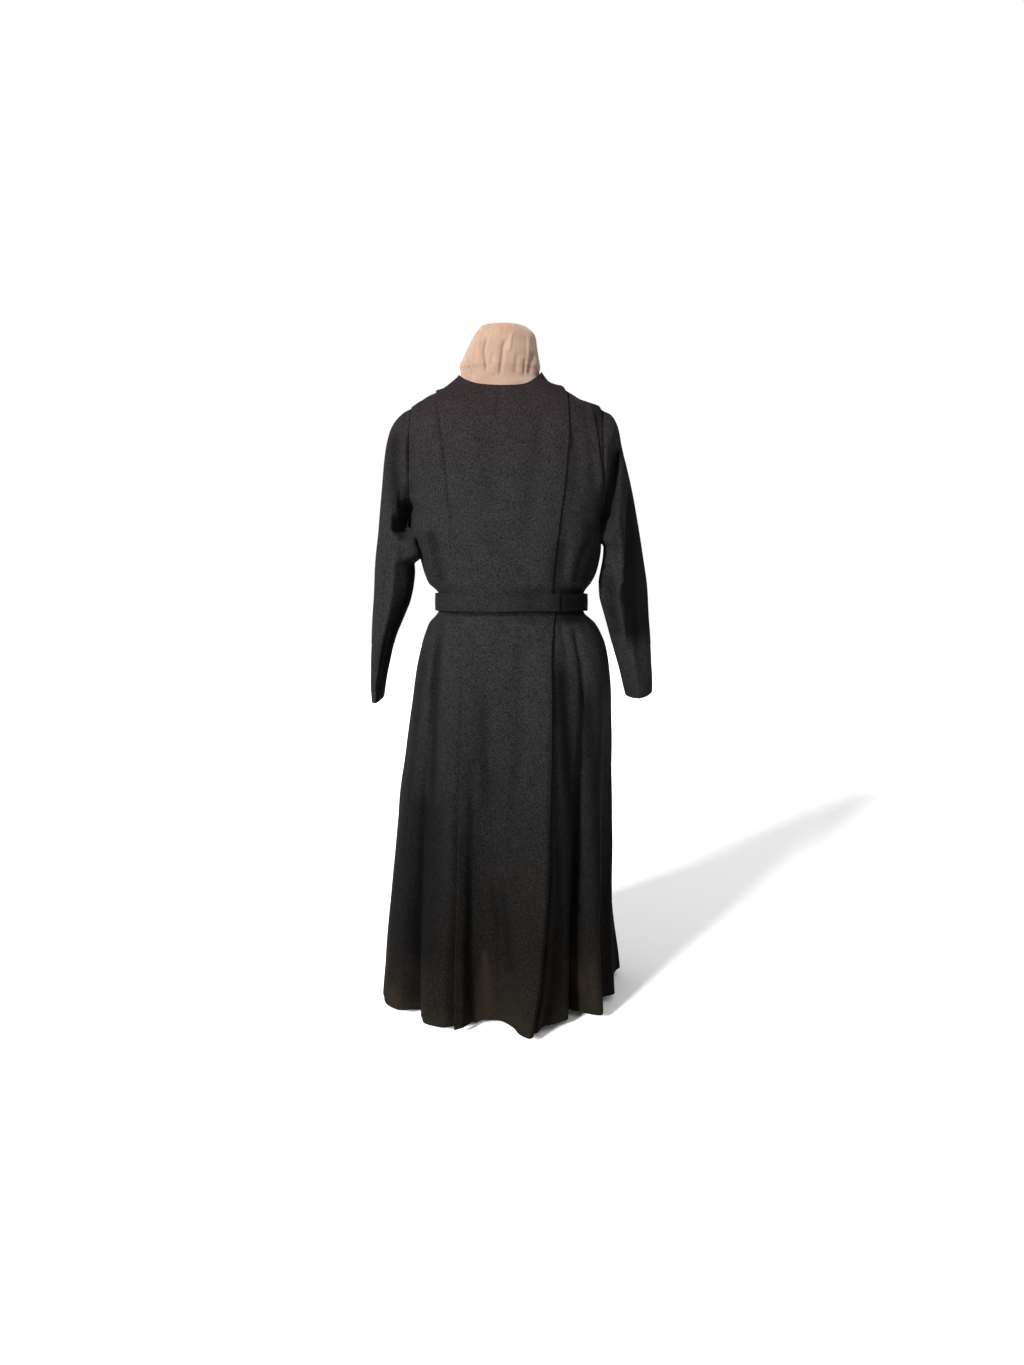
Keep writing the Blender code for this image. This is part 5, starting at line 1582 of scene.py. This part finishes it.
# %% The stage
floor_mesh = bpy.data.meshes.new("studio_floor")
bm = bmesh.new()
bmesh.ops.create_grid(bm, x_segments=1, y_segments=1, size=12.0)
bm.to_mesh(floor_mesh)
bm.free()
floor = bpy.data.objects.new("studio_floor", floor_mesh)
bpy.context.scene.collection.objects.link(floor)
paper = new_material("white_paper")
shader = add_node(paper, "ShaderNodeBsdfPrincipled", {
    "Base Color": colour("E9E9E9"), "Roughness": 0.95, "Specular IOR Level": 0.1,
})
add_node(paper, "ShaderNodeOutputMaterial", {"Surface": shader.outputs["BSDF"]})
floor.data.materials.append(paper)

world = bpy.data.worlds.new("white_room")
world.use_nodes = True
world.node_tree.nodes["Background"].inputs["Color"].default_value = (1.0, 1.0, 1.0, 1.0)
world.node_tree.nodes["Background"].inputs["Strength"].default_value = 1.0
bpy.context.scene.world = world

KEY_FROM = (-2.05, -3.10, 1.40)
KEY_STRENGTH = 14.0
KEY_SPREAD = math.radians(12.0)
key_data = bpy.data.lights.new("key_light", "SUN")
key_data.energy = KEY_STRENGTH
key_data.angle = KEY_SPREAD
key = bpy.data.objects.new("key_light", key_data)
key.location = KEY_FROM
key.rotation_euler = Vector(KEY_FROM).to_track_quat("Z", "Y").to_euler()
bpy.context.scene.collection.objects.link(key)
bpy.context.scene.view_settings.view_transform = "Standard"
bpy.context.scene.view_settings.look = "None"

# %% [markdown]
# ## What each piece stands for
# Each piece of cloth replaces the CAD solid of the same piece, which is hidden. Nothing moves, so
# everything rides on one body.

# %% Each piece on the body, in place of its CAD solid
CUTS = (
    # piece, CAD node, rests on, cut width and length, flat area
    (bodice_panel, "bodice_front_panel", "form_body", 0.310, 0.480, 0.119),
    (bodice_sides[-1], "bodice_front_left", "form_body", 0.160, 0.430, 0.057),
    (bodice_sides[1], "bodice_front_right", "form_body", 0.170, 0.440, 0.061),
    (bodice_back, "bodice_back", "form_body", 0.480, 0.470, 0.201),
    (skirt_panel, "skirt_front_panel", "form_body", 0.300, 0.780, 0.178),
    (skirt_pieces["skirt_left_cloth"], "skirt_left", "form_body", 0.340, 0.780, 0.181),
    (skirt_pieces["skirt_right_cloth"], "skirt_right", "form_body", 0.370, 0.780, 0.193),
    (skirt_pieces["skirt_back_cloth"], "skirt_back", "form_body", 1.020, 0.780, 0.532),
    (sleeves[-1], "sleeve_left", "bodice_back", 0.330, 0.580, 0.136),
    (sleeves[1], "sleeve_right", "bodice_back", 0.340, 0.580, 0.143),
)
for piece, node, rests_on, width, length, area in CUTS:
    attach(piece, "root")
    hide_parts(node)
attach(belt, "root")
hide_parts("belt")
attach(belt_stitches, "root")
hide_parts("belt")
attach(form_body, "root")
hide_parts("form_body")
print("sheets declared:", len(CUTS) + 1)

# %% The scene brought up to date
bpy.context.view_layer.update()
